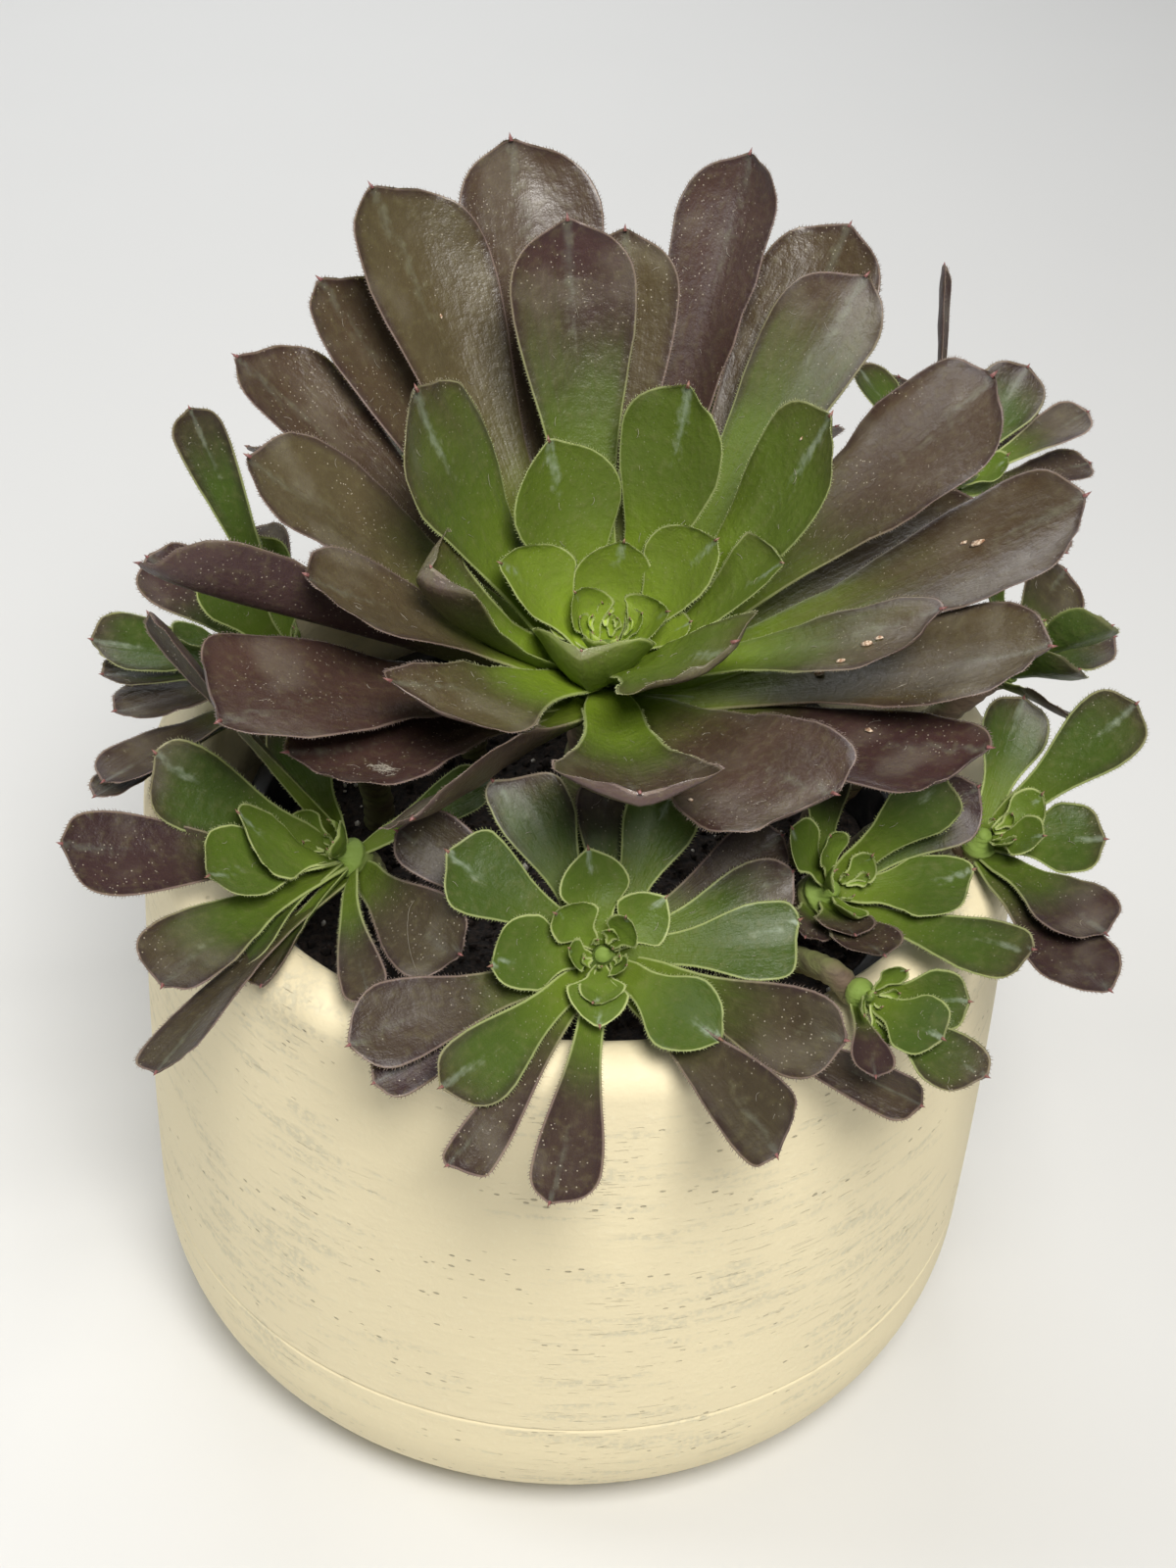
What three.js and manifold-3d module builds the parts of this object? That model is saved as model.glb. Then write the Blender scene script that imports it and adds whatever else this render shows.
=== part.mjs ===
// A potted aeonium: one large purple and green rosette over ten offset rosettes, growing in a thin
// nursery pot that stands inside a cream outer pot with a thick rounded lip.
// Millimetres, +Z up, +X to the right and -Y to the front. The origin is the middle of the pot's base.

import * as THREE from "three";
import { mergeVertices } from "three/addons/utils/BufferGeometryUtils.js";
import Module from "manifold-3d";

const wasm = await Module();
wasm.setup();

// Driving dimensions of the outer pot, a thick-walled round pot with no drain hole
const POT_HEIGHT = 168;
const POT_RIM_RADIUS = 110;
const POT_BELLY_RADIUS = 114;
const POT_LIP_THICKNESS = 16;
const POT_LIP_HEIGHT = 7.5;
const POT_FOOT_ROUND_OUT = 26;
const POT_FOOT_ROUND_UP = 34;
const POT_FLOOR_THICKNESS = 12;
const POT_FLOOR_ROUND_OUT = 12;
const POT_FLOOR_ROUND_UP = 20;
const POT_SIDES = 44;
const POT_ARC_STEPS = 5;

// Driving dimensions of the nursery pot and its soil
const SEAT_GAP = 0.3;
const NURSERY_HEIGHT = 132;
const NURSERY_TOP_RADIUS = 84;
const NURSERY_BASE_RADIUS = 70;
const NURSERY_WALL = 1.6;
const NURSERY_RIM = 3.2;
const NURSERY_SIDES = 24;
const DRAIN_HOLES = 5;
const DRAIN_HOLE_RADIUS = 5;
const DRAIN_RING_RADIUS = 49;
const DRAIN_HOLE_SIDES = 10;
const SOIL_BELOW_RIM = 10;
const SOIL_MOUND = 5;
const STEM_HOLE_DEPTH = 30;
const STEM_HOLE_PLAY = 1.6;
const STEM_HOLE_SIDES = 10;
const STEM_SIDES = 6;
const CROWN_SIDES = 6;
const CROWN_RINGS = 4;

// Shape of every leaf, as fractions of its own length and width
const LEAF_ROOT_WIDTH = 0.2;
const LEAF_NECK_WIDTH = 0.4;
const LEAF_NECK_AT = 0.2;
const LEAF_END_LENGTH = 0.48;
const LEAF_SPREAD_LATE = 1.45;
const LEAF_END_BLUNTNESS = 2.4;
const LEAF_SLANT = 0.55;
const LEAF_ROOT_THICKNESS = 0.1;
const LEAF_BLADE_THICKNESS = 0.06;
const LEAST_THICKNESS = 1.1;
const BLADE_STEPS = [0, 0.38, 0.72, 1];
const END_STEPS = [0.62, 0.93];
const SHORT_BLADE_STEPS = [0, 0.55, 1];
const SHORT_END_STEPS = [0.8];
const SHORT_LEAF = 46;

// The young leaves in the middle of a head follow the golden angle
const GOLDEN_ANGLE = 137.5;
const YOUNG_AGE = 0.12;
const YOUNG_CURL = 16;
const YOUNG_CUP = 22;

const soilHeight = POT_FLOOR_THICKNESS + NURSERY_HEIGHT - SOIL_BELOW_RIM;

// The heads. crown is the point where the youngest leaves meet, lean is the azimuth and the tilt of
// the head's axis, and drop is how far down the axis the oldest leaf is rooted. Each leaf, oldest
// first, is: azimuth, rise, length, width, curl, roll, cup, slant. Azimuth is measured from +X towards
// +Y and rise from the horizontal, both to the leaf's tip. curl bends the tip up, roll turns the blade
// about its midrib, and cup lifts its edges. slant pushes one corner of the end forward. A ninth number,
// where there is one, is the length of the rounded end as a share of the width. Angles are in degrees.
const heads = [
  {
    name: "main_rosette",
    crown: [4, 0, 206],
    lean: [-90, 5],
    drop: 26,
    core: 8,
    across: 3,
    stem: [[2, 4, 150]],
    stemRadius: 8,
    young: { count: 5, length: [11, 6], width: [8, 5], rise: [60, 76], turn: 250 },
    leaves: [
      [21, 28, 101, 34, -12, 0, 12, 0],
      [117, 42, 83, 30, -10, 0, 12, 0],
      [100, 34, 108, 32, -8, 0, 14, 0],
      [109, 52, 138, 36, 14, 0, 14, 0.15],
      [132, 52, 133, 35, 12, 0, 14, 0.45],
      [72, 54, 136, 31, 10, -28, 14, -0.1],
      [55, 47, 129, 33, 6, 0, 14, 0],
      [140, 42, 120, 30, 6, 0, 14, 0.4],
      [155, 36, 117, 28, 6, 0, 14, 0.5],
      [2, 31, 121, 37, 6, 0, 12, 0.2],
      [-20, 27, 111, 36, 6, 0, 12, 0],
      [-163, 28, 116, 25, -4, 66, 30, -0.6],
      [-147, 21, 106, 38, -8, 0, 10, 0.3],
      [-35, 17, 97, 30, -8, 0, 10, 0.4],
      [-136, 14, 87, 28, -10, 0, 14, -0.6],
      [-115, 18, 92, 34, -2, 52, 12, 0],
      [-61, 21, 92, 38, -12, 16, 8, 0.2],
      [-154, 36, 87, 30, -6, 0, 12, 0],
      [92, 59, 107, 28, 8, 0, 14, 0],
      [16, 41, 114, 39, 4, 0, 12, 0.1],
      [178, 36, 99, 34, 2, 0, 12, 0.2],
      [45, 50, 112, 30, 6, 0, 8, -0.2],
      [132, 30, 99, 24, 6, 0, 14, 0],
      [108, 64, 107, 31, 10, 0, 12, 0],
      [-26, 31, 85, 27, -6, 0, 12, 0.5],
      [-85, 25, 96, 35, 16, -1, 22, 0, 0.15],
      [-121, 27, 74, 29, -12, -9, 9, -0.75, 0.3],
      [175, 59, 84, 36, 24, -7, 8, 0],
      [-2, 61, 86, 32, 24, 14, 10, 0],
      [50, 74, 71, 30, 19, -7, 13, 0],
      [-63, 39, 55, 35, -15, 17, 17, 0.3, 0.15],
      [-152, 44, 58, 25, 42, -3, 42, 0, 0.15],
      [137, 71, 55, 31, 14, 0, 16, 0.1],
      [-18, 53, 56, 17, 22, 28, 19, -0.9, 0.15],
      [-105, 46, 26, 29, 21, 9, 40, 0],
      [6, 67, 41, 21, 11, 26, 20, -0.6],
      [-174, 61, 37, 21, 6, -28, 23, 1.1],
      [90, 83, 28, 20, 12, 4, 17, -0.2, 0.6],
      [170, 79, 18, 14, 2, -10, 30, 0.6],
      [-1, 65, 18, 16, -2, 15, 28, -0.9, 0.3],
      [-18, 43, 22, 8, 8, 30, 15, 0],
      [-172, 49, 16, 9, 8, -25, 14, 0.1],
    ],
  },
  {
    name: "front_offset",
    crown: [7, -84, 181],
    lean: [-90, 42],
    drop: 10,
    core: 5,
    across: 2,
    stem: [[5, -66, 160], [3, -52, 140]],
    stemRadius: 4,
    young: { count: 5, length: [14, 7], width: [12, 6], rise: [40, 62], turn: 135 },
    leaves: [
      [161, 24, 51, 16, -10, 0, 10, 0.2],
      [-141, -4, 58, 12, -20, 0, 12, 0],
      [-114, -5, 63, 11, -26, 0, 14, -0.3],
      [-95, -5, 64, 15, -24, -5, 12, -0.3],
      [-22, -8, 75, 12, -18, 30, 20, 0],
      [-53, 2, 63, 19, -14, 25, 12, -0.2, 0.35],
      [33, 20, 47, 15, -10, 0, 12, 0],
      [93, 45, 38, 14, 4, 0, 12, 0],
      [-149, 2, 59, 19, -11, 5, 10, 0.2],
      [-32, 8, 58, 20, -8, 16, 12, 0.2],
      [21, 13, 44, 17, -16, 2, 13, 0.4, 0.6],
      [-124, 1, 51, 17, -21, -12, 10, -0.3],
      [108, 24, 34, 13, 4, 0, 12, 0],
      [127, 37, 42, 18, 4, 0, 10, 0.4],
      [64, 40, 39, 17, 4, 0, 10, 0],
      [4, 8, 41, 18, -14, -8, 10, 0.2],
      [171, 32, 39, 20, -3, 13, 10, -0.1, 0.3],
      [-48, 7, 35, 18, -10, 0, 11, 0.1, 0.6],
      [-155, 21, 25, 17, -6, 0, 14, 0.3, 0.6],
      [110, 56, 21, 17, 10, 17, 14, 0],
      [35, 32, 16, 14, 5, 11, 14, 0, 0.55],
      [-93, 0, 18, 14, -16, 0, 15, 0.3, 0.6],
    ],
  },
  {
    name: "left_front_offset",
    crown: [-58, -45, 172],
    lean: [-152, 45],
    drop: 10,
    core: 5,
    across: 2,
    stem: [[-49, -38, 156], [-44, -34, 140]],
    stemRadius: 4,
    young: { count: 4, length: [17, 9], width: [11, 6], rise: [46, 62], turn: 200 },
    leaves: [
      [-114, 7, 84, 17, -16, -5, 12, 0],
      [-62, 19, 57, 20, -40, -6, 14, 0.1],
      [-155, 20, 70, 21, -10, -24, 12, -0.2],
      [164, 49, 75, 14, -6, -42, 22, 0],
      [-80, 10, 54, 11, -30, -22, 12, 0],
      [18, 28, 36, 15, -10, 0, 12, 0],
      [-108, 4, 46, 12, -14, 0, 26, 0],
      [-126, 9, 62, 22, -14, -30, 10, 0.3],
      [-172, 33, 50, 20, -6, 0, 10, -0.3],
      [130, 44, 34, 18, 4, 0, 12, 0],
      [-119, 1, 44, 16, -18, -10, 14, 0.1],
      [-140, 26, 38, 20, -4, -45, 18, 0.2],
      [-147, 38, 27, 20, 8, -44, 8, -0.4, 0.4],
    ],
  },
  {
    name: "left_back_offset",
    crown: [-77, 15, 182],
    lean: [-160, 25],
    drop: 10,
    core: 5,
    across: 2,
    stem: [[-62, 14, 162], [-54, 13, 140]],
    stemRadius: 4,
    young: { count: 3, length: [15, 9], width: [11, 6], rise: [50, 66], turn: 90 },
    leaves: [
      [-133, 0, 62, 13, -10, 0, 12, 0],
      [-131, 4, 60, 19, -14, 0, 12, 0],
      [112, 12, 52, 20, -12, 0, 12, 0],
      [138, 57, 71, 14, 6, 0, 14, 0],
      [-146, 10, 47, 18, -12, 0, 12, 0],
      [150, 20, 48, 19, -12, 0, 12, 0],
      [-154, 16, 48, 14, -10, 0, 12, 0],
      [-161, 22, 50, 20, -8, -10, 12, 0],
      [-150, 36, 34, 19, -6, 0, 16, 0],
      [172, 56, 33, 18, 6, 0, 22, 0],
      [120, 50, 31, 16, 6, 0, 18, 0],
    ],
  },
  {
    name: "right_front_offset",
    crown: [60, -58, 182],
    lean: [-40, 40],
    drop: 10,
    core: 5,
    across: 2,
    stem: [[47, -46, 162], [41, -40, 140]],
    stemRadius: 4,
    young: { count: 4, length: [14, 8], width: [11, 6], rise: [48, 66], turn: 140 },
    leaves: [
      [-95, 22, 20, 12, -8, 20, 14, 0],
      [-62, 20, 30, 16, -10, 20, 14, 0],
      [-29, 10, 50, 15, -1, 10, 10, 0.2, 0.6],
      [24, 27, 42, 16, -4, -4, 12, 0.3, 0.4],
      [92, 38, 34, 16, -4, 0, 12, 0],
      [-71, 20, 19, 14, -8, 24, 14, 0],
      [12, 50, 37, 19, 6, 18, 12, 0.1, 0.4],
      [-2, 9, 30, 19, -16, -24, 12, 0.5, 0.6],
      [-172, 62, 19, 13, -4, 0, 18, 0],
    ],
  },
  {
    name: "right_rim_offset",
    crown: [67, -89, 178],
    lean: [-55, 60],
    drop: 7,
    core: 3.5,
    across: 2,
    stem: [[57, -80, 177], [45, -63, 164], [38, -48, 140]],
    stemRadius: 3,
    young: { count: 3, length: [10, 7], width: [8, 5], rise: [30, 50], turn: 300 },
    leaves: [
      [-80, 2, 24, 10, -14, 30, 14, 0],
      [-45, 0, 33, 15, -16, 0, 12, 0.3],
      [-14, 12, 22, 14, -10, 0, 12, 0],
      [-44, 10, 20, 15, -10, 0, 12, 0],
    ],
  },
  {
    name: "right_offset",
    crown: [97, -33, 180],
    lean: [-60, 25],
    drop: 9,
    core: 4.5,
    across: 2,
    stem: [[83, -28, 181], [68, -24, 163], [57, -19, 140]],
    stemRadius: 3.5,
    young: { count: 3, length: [14, 8], width: [11, 6], rise: [40, 62], turn: 30 },
    leaves: [
      [-64, 5, 54, 20, 0, 10, 11, 0.2, 0.6],
      [-53, 10, 41, 20, -12, 0, 12, 0],
      [20, 46, 48, 18, -4, 0, 12, 0],
      [-6, 13, 27, 19, -8, 0, 12, 0],
      [70, 40, 34, 17, -4, 0, 12, 0],
      [-165, 62, 18, 11, -4, 0, 14, 0],
      [-30, 32, 14, 12, -4, 0, 14, 0],
    ],
  },
  {
    name: "right_back_offset",
    crown: [106, 12, 200],
    lean: [5, 40],
    drop: 9,
    core: 4.5,
    across: 2,
    stem: [[88, 10, 180], [70, 9, 160], [59, 8, 140]],
    stemRadius: 3.5,
    young: { count: 3, length: [13, 8], width: [10, 6], rise: [44, 62], turn: 310 },
    leaves: [
      [-54, 14, 27, 17, -12, 0, 12, 0],
      [61, 8, 42, 19, -10, 0, 12, 0],
      [-44, 34, 24, 16, -10, 0, 16, 0],
      [16, 14, 27, 18, -12, 0, 12, 0],
      [-20, 44, 29, 17, -20, 0, 24, 0],
      [105, 26, 38, 17, -6, 0, 12, 0],
    ],
  },
  {
    name: "back_right_offset",
    crown: [92, 68, 214],
    lean: [0, 20],
    drop: 9,
    core: 4.5,
    across: 2,
    stem: [[72, 54, 182], [56, 42, 160], [46, 35, 140]],
    stemRadius: 3.5,
    young: { count: 3, length: [14, 8], width: [11, 6], rise: [50, 66], turn: 10 },
    leaves: [
      [-42, 10, 38, 16, -10, 0, 12, 0],
      [100, 10, 48, 20, -10, 0, 12, 0],
      [62, 6, 50, 21, -12, 0, 12, 0],
      [24, 4, 42, 13, -8, 0, 14, 0],
      [95, 53, 58, 12, 4, 40, 18, 0],
      [50, 40, 38, 18, -4, 0, 12, 0],
      [140, 36, 38, 18, -6, 0, 12, 0],
      [28, 20, 41, 13, -4, 0, 16, 0],
    ],
  },
  {
    name: "back_offset",
    crown: [30, 92, 194],
    lean: [75, 35],
    drop: 9,
    core: 4.5,
    across: 2,
    stem: [[22, 76, 172], [18, 62, 156], [16, 52, 140]],
    stemRadius: 3.5,
    young: { count: 3, length: [14, 8], width: [11, 6], rise: [50, 66], turn: 190 },
    leaves: [
      [95, 4, 52, 22, -14, 0, 12, 0.3],
      [50, 6, 50, 22, -14, 0, 12, -0.3],
      [140, 8, 48, 20, -12, 0, 12, 0],
      [5, 14, 44, 20, -10, 0, 12, 0.2],
      [72, 26, 40, 20, -8, 0, 14, 0],
      [118, 30, 38, 20, -8, 0, 14, -0.2],
      [28, 34, 34, 18, -6, 0, 14, 0],
      [90, 50, 26, 16, -4, 0, 18, 0],
    ],
  },
  {
    name: "back_left_offset",
    crown: [-48, 80, 196],
    lean: [115, 35],
    drop: 9,
    core: 4.5,
    across: 2,
    stem: [[-40, 66, 174], [-34, 54, 156], [-31, 46, 140]],
    stemRadius: 3.5,
    young: { count: 3, length: [14, 8], width: [11, 6], rise: [50, 66], turn: 80 },
    leaves: [
      [120, 4, 54, 22, -14, 0, 12, -0.3],
      [75, 8, 48, 20, -12, 0, 12, 0.2],
      [165, 8, 50, 22, -12, 0, 12, 0],
      [98, 26, 40, 20, -8, 0, 14, 0],
      [142, 28, 40, 20, -8, 0, 14, 0.3],
      [-170, 24, 40, 18, -8, 0, 12, 0],
      [60, 34, 32, 17, -6, 0, 14, 0],
      [125, 50, 26, 16, -4, 0, 18, 0],
    ],
  },
];

// Turns a closed geometry into a solid that can be joined and cut
function solidOf(geometry) {
  const bare = geometry.index ? geometry.clone() : geometry;
  bare.deleteAttribute("normal");
  bare.deleteAttribute("uv");
  const merged = mergeVertices(bare, 1e-4);
  const vertProperties = new Float32Array(merged.attributes.position.array);
  const triVerts = new Uint32Array(merged.index.array);
  return new wasm.Manifold(new wasm.Mesh({ numProp: 3, vertProperties, triVerts }));
}

// Turns a solid back into a geometry for a mesh
function geometryOf(solid) {
  const mesh = solid.getMesh();
  const geometry = new THREE.BufferGeometry();
  const stride = mesh.numProp;
  const points = new Float32Array((mesh.vertProperties.length / stride) * 3);
  for (let i = 0; i < points.length / 3; i += 1) {
    points.set(mesh.vertProperties.subarray(i * stride, i * stride + 3), i * 3);
  }
  geometry.setAttribute("position", new THREE.BufferAttribute(points, 3));
  geometry.setIndex(new THREE.BufferAttribute(new Uint32Array(mesh.triVerts), 1));
  geometry.computeVertexNormals();
  return geometry;
}

// A unit vector from an azimuth and a rise in degrees
function direction(azimuth, rise) {
  const a = THREE.MathUtils.degToRad(azimuth);
  const r = THREE.MathUtils.degToRad(rise);
  return new THREE.Vector3(Math.cos(r) * Math.cos(a), Math.cos(r) * Math.sin(a), Math.sin(r));
}

// The axis of a head that leans by a tilt towards an azimuth
function headAxis([azimuth, tilt]) {
  return direction(azimuth, 90 - tilt);
}

// A smooth rise from 0 at low to 1 at high
function smoothStep(low, high, value) {
  const t = Math.min(1, Math.max(0, (value - low) / (high - low)));
  return t * t * (3 - 2 * t);
}

// Half the width of a leaf at s along its midrib: a narrow neck, a broad blade and a blunt end
function leafHalfWidth(s, width, widestAt) {
  const neck = LEAF_ROOT_WIDTH + (LEAF_NECK_WIDTH - LEAF_ROOT_WIDTH) * Math.min(1, s / LEAF_NECK_AT);
  const along = Math.min(1, Math.max(0, (s - LEAF_NECK_AT) / (widestAt - LEAF_NECK_AT)));
  const spread = smoothStep(0, 1, Math.pow(along, LEAF_SPREAD_LATE));
  const past = Math.max(0, (s - widestAt) / (1 - widestAt));
  const end = Math.pow(Math.max(0, 1 - Math.pow(past, LEAF_END_BLUNTNESS)), 1 / LEAF_END_BLUNTNESS);
  return 0.5 * width * (neck + (1 - neck) * spread) * end;
}

// Thickness of a leaf at s along its midrib
function leafThickness(s, width) {
  const fade = Math.min(s / 0.6, 1);
  const part = LEAF_ROOT_THICKNESS + (LEAF_BLADE_THICKNESS - LEAF_ROOT_THICKNESS) * fade;
  return Math.max(LEAST_THICKNESS, part * width);
}

// Where the sections of a leaf lie along its midrib
function midribSteps(length, widestAt) {
  const short = length < SHORT_LEAF;
  const blade = (short ? SHORT_BLADE_STEPS : BLADE_STEPS).map((t) => t * widestAt);
  const end = (short ? SHORT_END_STEPS : END_STEPS).map((t) => widestAt + (1 - widestAt) * t);
  return [...blade, ...end];
}

// One leaf as a closed solid. Its midrib is an arc from the root to the tip. The two faces share
// their edges and are split into triangles alike.
function leafSolid(root, axis, row, across) {
  const [azimuth, rise, length, width, curl, roll, cup, slant, end = LEAF_END_LENGTH] = row;
  const chord = direction(azimuth, rise);
  const side = new THREE.Vector3().crossVectors(axis, chord).normalize();
  const face = new THREE.Vector3().crossVectors(chord, side);
  const turn = THREE.MathUtils.degToRad(curl);
  const stretch = Math.abs(turn) < 1e-3 ? 1 : (turn / 2) / Math.sin(turn / 2);
  const lift = Math.tan(THREE.MathUtils.degToRad(cup));
  const widestAt = 1 - (end * width) / length;

  const alongMidrib = (s) => {
    const point = root.clone();
    if (Math.abs(turn) < 1e-3) return point.addScaledVector(chord, length * s);
    const radius = (length * stretch) / turn;
    const start = -turn / 2;
    const now = start + turn * s;
    point.addScaledVector(chord, radius * (Math.sin(now) - Math.sin(start)));
    return point.addScaledVector(face, radius * (Math.cos(start) - Math.cos(now)));
  };

  const steps = midribSteps(length, widestAt);
  const points = [];
  const upper = [];
  const lower = [];
  const add = (p) => points.push(p.x, p.y, p.z) / 3 - 1;
  for (const s of steps) {
    const bend = turn * (s - 0.5);
    const tangent = chord.clone().multiplyScalar(Math.cos(bend)).addScaledVector(face, Math.sin(bend));
    const twist = THREE.MathUtils.degToRad(roll) * Math.min(1, s / 0.5);
    const out = side.clone().applyAxisAngle(tangent, twist);
    const up = new THREE.Vector3().crossVectors(tangent, out);
    const middle = alongMidrib(s);
    const half = leafHalfWidth(s, width, widestAt);
    const thick = leafThickness(s, width);
    const shear = slant * LEAF_SLANT * smoothStep(0.5, 0.9, s);
    const top = [];
    const under = [];
    for (let j = 0; j <= across; j += 1) {
      const x = (2 * j) / across - 1;
      const raised = lift * half * (Math.pow(Math.abs(x), 1.5) - 0.4);
      const p = middle.clone().addScaledVector(out, half * x).addScaledVector(up, raised);
      p.addScaledVector(tangent, shear * half * x);
      const inner = thick * 0.5 * (1 - x * x);
      top.push(add(p.clone().addScaledVector(up, inner)));
      const edge = j === 0 || j === across;
      under.push(edge ? top[j] : add(p.clone().addScaledVector(up, -inner)));
    }
    upper.push(top);
    lower.push(under);
  }
  const tip = add(alongMidrib(1.01));

  const triangles = [];
  const last = steps.length - 1;
  for (let i = 0; i < last; i += 1) {
    for (let j = 0; j < across; j += 1) {
      const flip = j >= across / 2;
      const cell = (row) => [row[i][j], row[i][j + 1], row[i + 1][j + 1], row[i + 1][j]];
      const [a, b, c, d] = cell(upper);
      const [e, f, g, h] = cell(lower);
      triangles.push(...(flip ? [a, c, b, a, d, c] : [a, d, b, b, d, c]));
      triangles.push(...(flip ? [e, f, g, e, g, h] : [e, f, h, f, g, h]));
    }
  }
  for (let j = 0; j < across; j += 1) {
    triangles.push(upper[last][j], tip, upper[last][j + 1]);
    triangles.push(lower[last][j], lower[last][j + 1], tip);
    if (j > 0) triangles.push(upper[0][j], lower[0][j + 1], lower[0][j]);
    if (j < across - 1) triangles.push(upper[0][j], upper[0][j + 1], lower[0][j + 1]);
  }
  const geometry = new THREE.BufferGeometry();
  geometry.setAttribute("position", new THREE.BufferAttribute(new Float32Array(points), 3));
  geometry.setIndex(triangles);
  return solidOf(geometry);
}

// Where a leaf is rooted: older leaves sit lower on the crown, all of them just inside its surface
function leafRoot(head, axis, azimuth, rise, age) {
  const out = direction(azimuth, rise);
  out.addScaledVector(axis, -out.dot(axis)).normalize();
  const root = new THREE.Vector3(...head.crown);
  root.addScaledVector(axis, -head.drop * age);
  return root.addScaledVector(out, head.core * 0.5);
}

// A round tube along a smooth curve
function tubeSolid(points, radius, sides, steps) {
  const ring = new THREE.Shape();
  ring.absarc(0, 0, radius, 0, 2 * Math.PI, false);
  const path = new THREE.CatmullRomCurve3(points);
  const options = { steps, curveSegments: sides / 2, bevelEnabled: false, extrudePath: path };
  return solidOf(new THREE.ExtrudeGeometry(ring, options));
}

// The points of a head's stem, from inside the crown down to its foot in the soil
function stemPoints(head) {
  const axis = headAxis(head.lean);
  const crown = new THREE.Vector3(...head.crown);
  const points = [crown.clone().addScaledVector(axis, -head.drop * 0.5)];
  points.push(crown.clone().addScaledVector(axis, -head.drop * 1.15));
  head.stem.forEach((p) => points.push(new THREE.Vector3(...p)));
  const ground = points[points.length - 1];
  for (const down of [0.4, 1]) {
    points.push(new THREE.Vector3(ground.x, ground.y, soilHeight - STEM_HOLE_DEPTH * down + SEAT_GAP));
  }
  return points;
}

// Every leaf of a head with its root: the listed ones, then the young ones by the golden angle
function headRows(head) {
  const axis = headAxis(head.lean);
  const rows = head.leaves.map((leaf, i) => {
    const age = 1 - (0.85 * i) / head.leaves.length;
    return { leaf, root: leafRoot(head, axis, leaf[0], leaf[1], age) };
  });
  const { count, length, width, rise, turn } = head.young;
  const upright = new THREE.Quaternion().setFromUnitVectors(new THREE.Vector3(0, 0, 1), axis);
  const mix = ([from, to], t) => from + (to - from) * t;
  for (let i = 0; i < count; i += 1) {
    const t = i / (count - 1);
    const tilted = direction(turn + GOLDEN_ANGLE * i, mix(rise, t)).applyQuaternion(upright);
    const azimuth = THREE.MathUtils.radToDeg(Math.atan2(tilted.y, tilted.x));
    const climb = THREE.MathUtils.radToDeg(Math.asin(tilted.z));
    const leaf = [azimuth, climb, mix(length, t), mix(width, t), YOUNG_CURL, 0, YOUNG_CUP, 0];
    rows.push({ leaf, root: leafRoot(head, axis, azimuth, climb, YOUNG_AGE) });
  }
  return rows;
}

// The crown that a head's leaves grow from, joined to its stem
function headCore(head) {
  const axis = headAxis(head.lean);
  const crown = new THREE.SphereGeometry(head.core, CROWN_SIDES, CROWN_RINGS);
  crown.rotateX(Math.PI / 2);
  crown.scale(1, 1, (head.drop * 0.75) / head.core);
  crown.applyQuaternion(new THREE.Quaternion().setFromUnitVectors(new THREE.Vector3(0, 0, 1), axis));
  const middle = new THREE.Vector3(...head.crown).addScaledVector(axis, -head.drop * 0.5);
  crown.translate(middle.x, middle.y, middle.z);
  const stem = stemPoints(head);
  return solidOf(crown).add(tubeSolid(stem, head.stemRadius, STEM_SIDES, stem.length + 3));
}

// One head: its crown, its stem and its leaves, joined in one solid
function headSolid(head) {
  const axis = headAxis(head.lean);
  const leaves = headRows(head).map(({ leaf, root }) => leafSolid(root, axis, leaf, head.across));
  return wasm.Manifold.union([headCore(head), ...leaves]);
}

// The outer pot's profile: a flat foot, a soft quarter round, a faint belly and a rounded lip
function potProfile() {
  const points = [new THREE.Vector2(0, 0)];
  const footRadius = POT_BELLY_RADIUS - POT_FOOT_ROUND_OUT;
  const lipFoot = POT_HEIGHT - POT_LIP_HEIGHT;
  for (let i = 0; i <= POT_ARC_STEPS; i += 1) {
    const a = (i / POT_ARC_STEPS) * (Math.PI / 2);
    const out = footRadius + POT_FOOT_ROUND_OUT * Math.sin(a);
    points.push(new THREE.Vector2(out, POT_FOOT_ROUND_UP * (1 - Math.cos(a))));
  }
  for (const t of [0.4, 0.75]) {
    const out = POT_BELLY_RADIUS + (POT_RIM_RADIUS - POT_BELLY_RADIUS) * t * t;
    points.push(new THREE.Vector2(out, POT_FOOT_ROUND_UP + (lipFoot - POT_FOOT_ROUND_UP) * t));
  }
  const lipMiddle = POT_RIM_RADIUS - POT_LIP_THICKNESS / 2;
  for (let i = 0; i <= POT_ARC_STEPS; i += 1) {
    const a = (i / POT_ARC_STEPS) * Math.PI;
    const out = lipMiddle + (POT_LIP_THICKNESS / 2) * Math.cos(a);
    points.push(new THREE.Vector2(out, lipFoot + POT_LIP_HEIGHT * Math.sin(a)));
  }
  const innerRadius = POT_RIM_RADIUS - POT_LIP_THICKNESS;
  points.push(new THREE.Vector2(innerRadius, POT_FLOOR_THICKNESS + POT_FLOOR_ROUND_UP));
  points.push(new THREE.Vector2(innerRadius - POT_FLOOR_ROUND_OUT, POT_FLOOR_THICKNESS));
  points.push(new THREE.Vector2(0, POT_FLOOR_THICKNESS));
  return points;
}

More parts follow.
